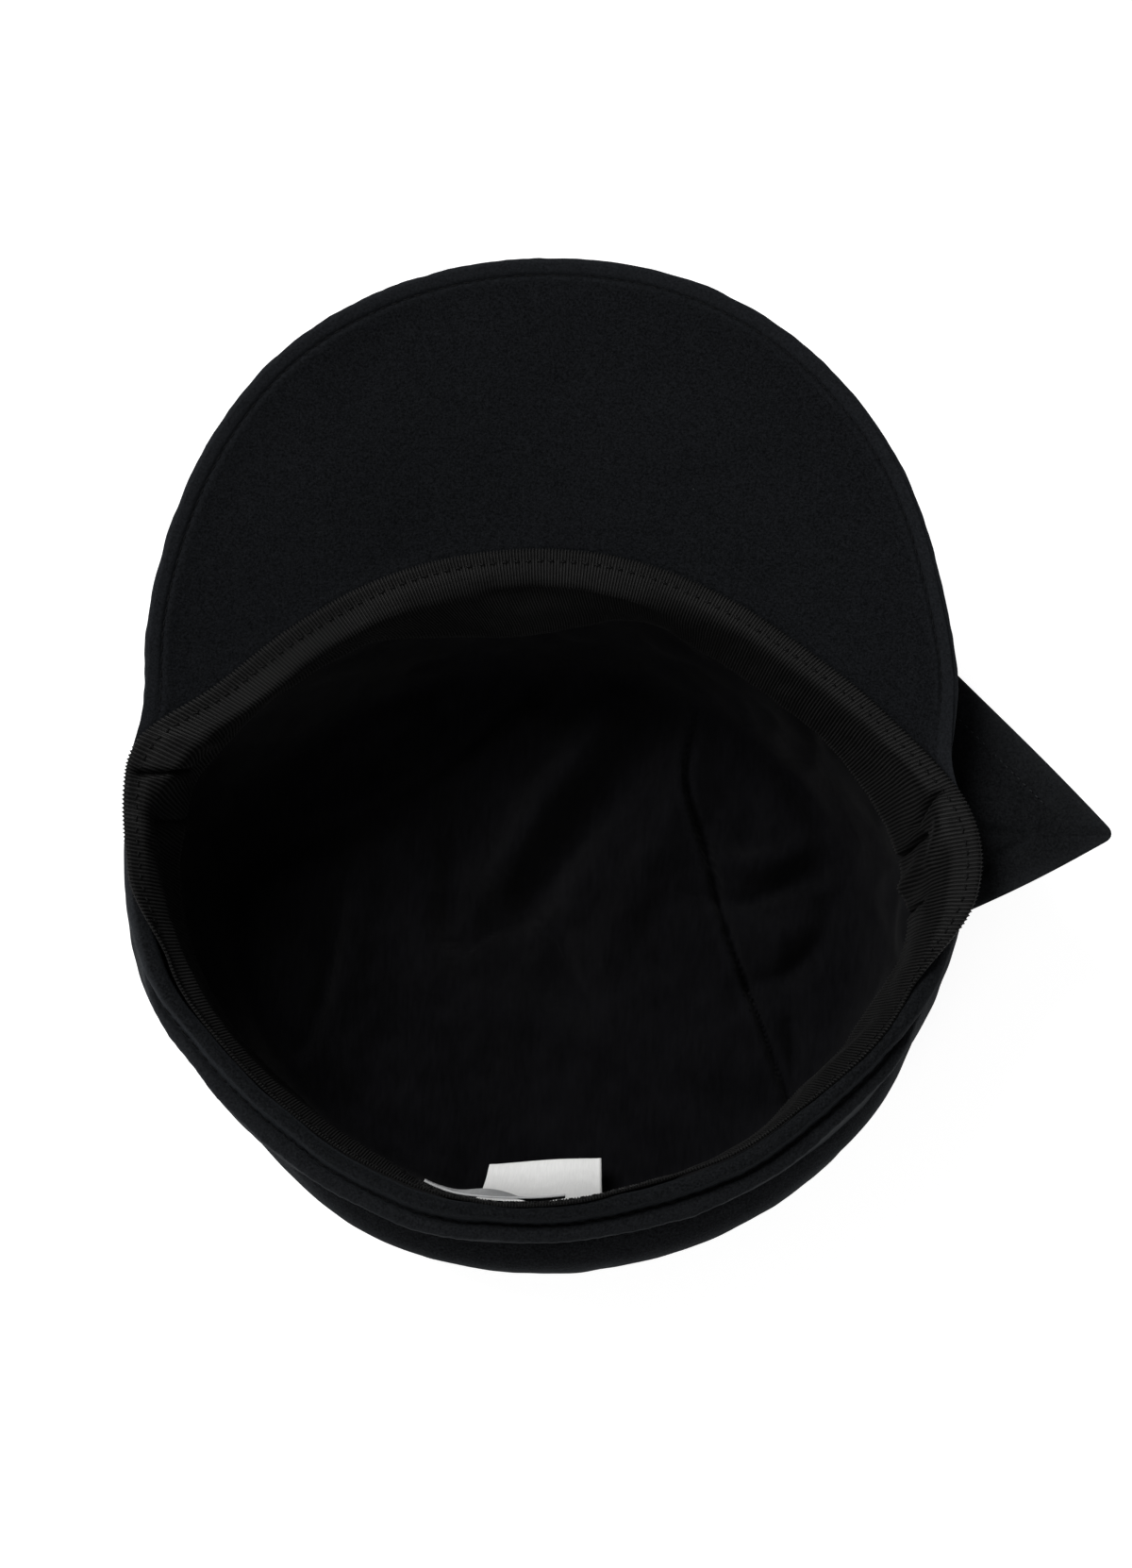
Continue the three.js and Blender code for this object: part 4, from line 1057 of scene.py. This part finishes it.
def lining():
    n = 400
    deg = np.arange(n) * 360 / n
    a = np.radians(deg)
    R, E, F, zr = col("rim", deg), col("edge", deg), col("floor", deg), rim_z(deg)
    # plan share and height of the wall above the floor, then the floor itself
    wall_rows = [(F * 0.90, LINING_FLOOR + 2.6 + 0 * F), (F * 0.975, LINING_FLOOR + 3.6 + 0 * F), (F + 1.2, LINING_FLOOR + 6.0 + 0 * F), (lerp(F + 2, E - 6.6, 0.32), 22 + 0 * F),
                 (lerp(F + 2, E - 6.6, 0.62), 33 + 0 * F), (E - 6.6, zr - 27.5), (R - 5.3, zr - 17), (R - 4.85, zr - 12.5)]
    wall = np.stack([np.stack([r, z], -1) for r, z in wall_rows], 1)
    wall = even(spline(wall, 90), 44)
    t = np.linspace(0.012, 0.905, 66)[:-1]
    floor = np.stack([(F * 0.90 / 0.905)[:, None] * t[None, :], np.full((n, len(t)), LINING_FLOOR + 2.6)], -1)
    rz = np.concatenate([floor, wall], 1)
    p = around(rz, deg)
    up = rz[..., 1]
    rise = lining_relief(p[..., 0], p[..., 1])
    flat_w = 1 - smooth(LINING_FLOOR + 4.0, LINING_FLOOR + 20, up)
    small = waves(61, 13)(p) * 0.22 + waves(62, 26)(p) * 0.35 + waves(63, 6)(p) * 0.07
    z = p[..., 2] + (rise + small) * flat_w
    low = TOP_THICKNESS + LINING_WALL + 0.9
    z = low + np.log1p(np.exp((z - low) / 0.6)) * 0.6            # never through the crown's top
    p[..., 2] = z
    # the wall: soft upright folds that run out of the sewn edge and fade into the floor
    wall_w = smooth(LINING_FLOOR + 2, LINING_FLOOR + 18, up) * (1 - smooth(zr - 26, zr - 15, up.T).T)
    upright = (0.9 * np.sin(9 * a + 0.7) + 0.7 * np.sin(17 * a + 2.1) + 0.5 * np.sin(29 * a + 0.3))[:, None] * 0.55 + waves(64, 22)(p) * 0.45
    shift = -(np.abs(upright) * 0.9 + 0.3) * wall_w            # only inward, so the cloth stays clear of the crown
    out = np.stack([np.cos(a)[:, None] + 0 * shift, np.sin(a)[:, None] + 0 * shift, 0 * shift], -1)
    p = p + out * shift[..., None]
    nrm = grid_normals(p, True)
    if nrm[:, :20, 2].mean() < 0:
        nrm = -nrm
    under = p - nrm * LINING_WALL
    under[..., 2] = np.maximum(under[..., 2], TOP_THICKNESS + 0.5)
    u = np.concatenate([a * 75, [TAU * 75]])
    ob = two_sided("lining_cloth", p, under, True, u, np.arange(p.shape[1] * 2 + 1) * 1.3, COTTON, pole=True)
    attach(ob, "root"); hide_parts("lining")
    return ob


# ---- bow end ---------------------------------------------------------------------------
BOW_LOWER, BOW_TIP, BOW_SHOULDER = np.array([105.6, 3.2]), np.array([141.7, 23.9]), np.array([98.6, 65.0])
HEM_UPPER, HEM_LOWER = 8.8, 9.3


def bow_end():
    root_deg = np.linspace(3, 33, 150)
    r = np.maximum(col("rim", root_deg), band_outer(root_deg, 14)) + 0.6
    root = np.stack([r * np.cos(np.radians(root_deg)), r * np.sin(np.radians(root_deg))], -1)
    # far edge: lower side, rounded tip, upper side, each slightly bowed
    low_dir = (BOW_TIP - BOW_LOWER) / np.linalg.norm(BOW_TIP - BOW_LOWER)
    up_dir = (BOW_SHOULDER - BOW_TIP) / np.linalg.norm(BOW_SHOULDER - BOW_TIP)
    low_n, up_n = np.array([low_dir[1], -low_dir[0]]), np.array([up_dir[1], -up_dir[0]])
    cut = 3.0
    a0, a1 = BOW_TIP - low_dir * cut, BOW_TIP + up_dir * cut
    t = np.linspace(0, 1, 60)[:, None]
    low_side = lerp(BOW_LOWER, a0, t) + low_n * 0.55 * np.sin(t * math.pi)
    up_side = lerp(a1, BOW_SHOULDER, t) + up_n * 0.35 * np.sin(t * math.pi)
    q = np.linspace(0, 1, 22)[1:-1, None]
    tip_at = BOW_TIP - (low_dir - up_dir) * 0.35
    tip = (1 - q) ** 2 * a0 + 2 * q * (1 - q) * tip_at + q ** 2 * a1
    far = np.concatenate([low_side, tip, up_side])
    s = np.concatenate([[0], np.cumsum(np.linalg.norm(np.diff(far, axis=0), axis=1))]) / 1.0
    # more sections near the tip
    mid = np.linalg.norm(a0 - BOW_LOWER)
    want = np.interp(np.linspace(0, 1, 150), [0, 0.46, 0.54, 1], [0, mid - 0.5, mid + 5.5, s[-1]])
    far = np.stack([np.interp(want, s, far[:, k]) for k in range(2)], -1)
    rows = np.concatenate([np.linspace(0, 0.80, 70)[:-1], np.linspace(0.80, 0.992, 50)])
    xy = lerp(root[:, None], far[:, None], rows[None, :, None])
    du, _, _ = to_line(xy, up_side)
    dl, _, _ = to_line(xy, low_side)

    def base_z(x):
        return BOW_HEIGHT + BOW_TIP_RISE * smooth(100, 140, x)

    def relief(xy, du, dl):
        flat3 = np.concatenate([xy, 0 * xy[..., :1]], -1)
        # the hems are a second layer; where both meet, a mitre crease from the tip
        up = 1 - smooth(HEM_UPPER - 0.6, HEM_UPPER + 0.9, du)
        low = 1 - smooth(HEM_LOWER - 0.4, HEM_LOWER + 0.7, dl)
        hem = np.maximum(up, low) * 0.42
        dm, along, _ = to_line(xy, [tuple(BOW_TIP), (121.5, 22.2)])
        mitre = -0.35 * np.exp(-(dm / 0.55) ** 1.5)
        stitch = -0.30 * np.exp(-(np.abs(du - (HEM_UPPER - 1.1)) / 0.45) ** 1.6) * (xy[..., 0] < 126) * (xy[..., 0] > 101)
        stitch_l = -0.12 * np.exp(-(np.abs(dl - (HEM_LOWER - 1.3)) / 0.5) ** 1.6) * (xy[..., 0] < 121)
        d1, _, _ = to_line(xy, [(100, 20), (108, 24), (118, 23)])
        d2, _, _ = to_line(xy, [(104, 9), (112, 17), (119, 22)])
        dent = -1.8 * np.exp(-2 * (d1 / 2.4) ** 2) - 1.5 * np.exp(-2 * (d2 / 2.0) ** 2)
        slow = waves(71, 22)(flat3) * 0.26 + waves(72, 8)(flat3) * 0.07
        return hem + mitre + stitch + stitch_l + dent + slow

    add = relief(xy, du, dl)
    near_edge = np.minimum(du, dl)
    round_off = 0.9 * (1 - np.sqrt(np.clip(1 - (1 - np.clip(near_edge / 1.5, 0, 1)) ** 2, 0, 1)))
    z_top = base_z(xy[..., 0]) - 0.85 + add - round_off
    z_under = base_z(xy[..., 0]) - BOW_THICKNESS + 0.2 + waves(73, 24)(np.concatenate([xy, 0 * xy[..., :1]], -1)) * 0.18 + round_off
    top = np.concatenate([xy, z_top[..., None]], -1)
    under = np.concatenate([xy, z_under[..., None]], -1)
    # the folded edge itself
    lip_xy = lerp(root[:, None], far[:, None], np.array([0.9985, 1.0, 0.9985])[None, :, None])
    zc = base_z(lip_xy[..., 0]) - 1.45
    lip = np.concatenate([lip_xy, (zc + np.array([0.55, 0.0, -0.55])[None, :])[..., None]], -1)
    p = np.concatenate([top, lip, under[:, ::-3][:, :-1], under[:, :1]], 1)
    if p.shape[1] % 2:
        p = np.concatenate([p, (0.5 * (under[:, :1] + top[:, :1]))], 1)
    u = np.concatenate([want, [want[-1] + 1]])
    flat = p[..., :2]
    # painted highlight along the folded edges and the upper hem
    highlight_from_up, highlight_from_low = to_line(flat, up_side)[0], to_line(flat, low_side)[0]
    near = np.minimum(highlight_from_up, highlight_from_low)
    painted_highlight = 0.45 * np.exp(-near / 0.9) + 0.22 * np.exp(-near / 5.0) + 0.06 * (1 - smooth(HEM_UPPER - 1.5, HEM_UPPER + 0.5, highlight_from_up))
    ob = closed_grid("side_bow_end_wool", p, False, u, np.arange(p.shape[1] + 1) * 0.6, WOOL_BOW, painted_highlight)
    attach(ob, "root"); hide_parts("side_bow_end")
    # hem stitches
    along = lerp(BOW_SHOULDER, BOW_TIP, np.linspace(0.14, 0.70, 60)[:, None])
    nin = -up_n if ((root.mean(0) - BOW_TIP) @ -up_n) > 0 else up_n
    line = along + nin * (HEM_UPPER - 1.1)
    z = base_z(line[:, 0]) - 0.85 + 0.85 - 0.26
    st = threads("side_bow_end_stitches", np.column_stack([line, z]), np.tile([0, 0, 1.0], (len(line), 1)), 2.1, 1.0, 0.18, 0.12, THREAD_HEM, seed=17)
    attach(st, "root")
    return ob


# ---- labels -----------------------------------------------------------------------------
CARE_PATH = np.array([[73.6, 48.0], [72.4, 41], [70.6, 33], [68.0, 26], [64.8, 21.5], [61.2, 19.0]])


def care_label():
    u = np.array([math.cos(math.radians(273.5)), math.sin(math.radians(273.5))])
    side = np.array([-u[1], u[0]])
    mid = spline(CARE_PATH, 70)
    nrm = offset_sides(mid[None])[0]
    x = np.linspace(-1, 1, 44)
    along = np.linspace(0, 1, len(mid))
    curl = (0.35 * (x[:, None] ** 2) + 0.18 * np.sin(3.1 * x[:, None] + 4 * along[None, :])) * smooth(0.2, 1, along)[None, :]
    edge = 0.10 * (np.abs(x[:, None]) > 0.93)
    c = mid[None] + nrm[None] * (curl * 1.0)[..., None]
    half = 14.5

    def place(side_shift):
        q = c + nrm[None] * side_shift[..., None]
        r, z = q[..., 0], q[..., 1]
        r = r - (0.80 * x[:, None] + 0.35) * along[None, :]
        wide = x[:, None] * half - 3.6 * (1 - along[None, :]) * (1 - x[:, None]) / 2
        return np.stack([u[0] * r + side[0] * wide, u[1] * r + side[1] * wide, z], -1)
    top, under = place(0.16 + edge), place(-0.16 - edge)
    loop = np.concatenate([top, under[:, ::-1]], 1)
    arc = np.linspace(0, 38, loop.shape[1] // 2)
    v = np.concatenate([arc, arc[::-1] + 0.4, [0.0]])
    ob = closed_grid("care_label_satin", loop, False, np.concatenate([(x + 1) * half, [30]]), v, SATIN)
    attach(ob, "root"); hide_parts("care_label")
    return ob


def woven_label():
    n, rows = 140, 26
    deg = np.linspace(250.5, 277.5, n)
    zr = rim_z(deg)
    path = sweat_path(deg, 80)
    v = np.linspace(0, 1, rows)
    top_at = 4.9 + 6.6 * (1 - smooth(254, 263, deg))[:, None]
    z = zr[:, None] - lerp(top_at, 22.0 - 9.6 * (1 - smooth(251, 264, deg))[:, None], v[None, :])
    face = np.stack([np.interp(-z[k], -path[k, :, 1], path[k, :, 0]) for k in range(n)]) - SWEAT_WALL / 2 - 0.55
    # the tape leans off the ribbon, most where the slanting care label pushes it
    lean = (0.1 + 2.5 * bell(deg, 262.6, 7.4))[:, None] * smooth(0, 1, v)[None, :]
    p3 = around(np.stack([face, z], -1), deg)
    wave = waves(81, 9)(p3) * 0.16 * smooth(0, 0.3, v)[None, :]
    frame_edge = 0.08 * ((v < 0.06) | (v > 0.94))[None, :]
    top = around(np.stack([face - lean - 0.42 + wave - frame_edge, z], -1), deg)
    back = around(np.stack([face - lean + wave, z], -1), deg)
    loop = np.concatenate([top, back[:, ::-1]], 1)
    vv = np.concatenate([v * 15.5, v[::-1] * 15.5, [0]])
    ob = closed_grid("woven_label_tape", loop, False, np.concatenate([np.radians(deg) * 76, [np.radians(277.7) * 76]]), vv, WOVEN)
    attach(ob, "root"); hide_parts("woven_label")
    return ob


headband()
crown_side()
crown_top()
sweatband()
visor()
lining()
bow_end()
care_label()
woven_label()


# ---- floor, light and camera ----------------------------------------------------------------
def floor():
    s = 6.0
    me = bpy.data.meshes.new("floor")
    me.from_pydata([(-s, -s, -0.0004), (s, -s, -0.0004), (s, s, -0.0004), (-s, s, -0.0004)], [], [(0, 1, 2, 3)])
    ob = bpy.data.objects.new("floor", me)
    bpy.context.scene.collection.objects.link(ob)
    m, t, b = principled("pale_paper")
    c = t.nodes.new("ShaderNodeTexCoord").outputs["Object"]
    t.links.new(ramp(t, noise(t, c, 3, 3), [(0.3, (0.50, 0.50, 0.50)), (0.7, (0.52, 0.52, 0.52))]), b.inputs["Base Color"])
    b.inputs["Roughness"].default_value = 0.9
    b.inputs["Specular IOR Level"].default_value = 0.1
    b.inputs["Emission Color"].default_value = (1, 1, 1, 1)
    b.inputs["Emission Strength"].default_value = 0.86
    me.materials.append(m)


def area(name, direction, distance, size, power, colour=(1, 1, 1)):
    data = bpy.data.lights.new(name, "AREA")
    data.shape, data.size, data.energy, data.color = "DISK", size, power, colour
    ob = bpy.data.objects.new(name, data)
    bpy.context.scene.collection.objects.link(ob)
    d = np.array(direction, float)
    d /= np.linalg.norm(d)
    at = np.array([0, 0, 0.06]) + d * distance
    z = d
    x = np.cross([0, 0, 1.0], z)
    x /= max(np.linalg.norm(x), 1e-6)
    y = np.cross(z, x)
    ob.matrix_world = Matrix([[x[0], y[0], z[0], at[0]], [x[1], y[1], z[1], at[1]], [x[2], y[2], z[2], at[2]], [0, 0, 0, 1]])
    return ob


floor()
area("key", (-0.48, 0.36, 0.86), 2.0, 1.1, 41.0)
area("fill", (-0.22, -0.85, 0.72), 2.2, 1.6, 12.0)

world = bpy.data.worlds.new("studio")
world.use_nodes = True
world.node_tree.nodes["Background"].inputs[0].default_value = (1, 1, 1, 1)
world.node_tree.nodes["Background"].inputs[1].default_value = 0.17
bpy.context.scene.world = world
bpy.context.scene.view_settings.view_transform = "Standard"
bpy.context.scene.view_settings.look = "None"

camera = bpy.data.cameras.new("camera")
camera.lens, camera.sensor_width, camera.clip_start, camera.clip_end = 85.0, 36.0, 0.05, 50.0
cam = bpy.data.objects.new("camera", camera)
bpy.context.scene.collection.objects.link(cam)
RIGHT, UP, FORWARD = (0.99814, 0.06105, 0.0), (-0.05993, 0.97980, 0.19081), (-0.01165, 0.19045, -0.98163)
cam.matrix_world = Matrix([
    [RIGHT[0], UP[0], -FORWARD[0], 0.01436], [RIGHT[1], UP[1], -FORWARD[1], -0.14765],
    [RIGHT[2], UP[2], -FORWARD[2], 0.98089], [0, 0, 0, 1]])
bpy.context.scene.camera = cam

bpy.context.view_layer.update()
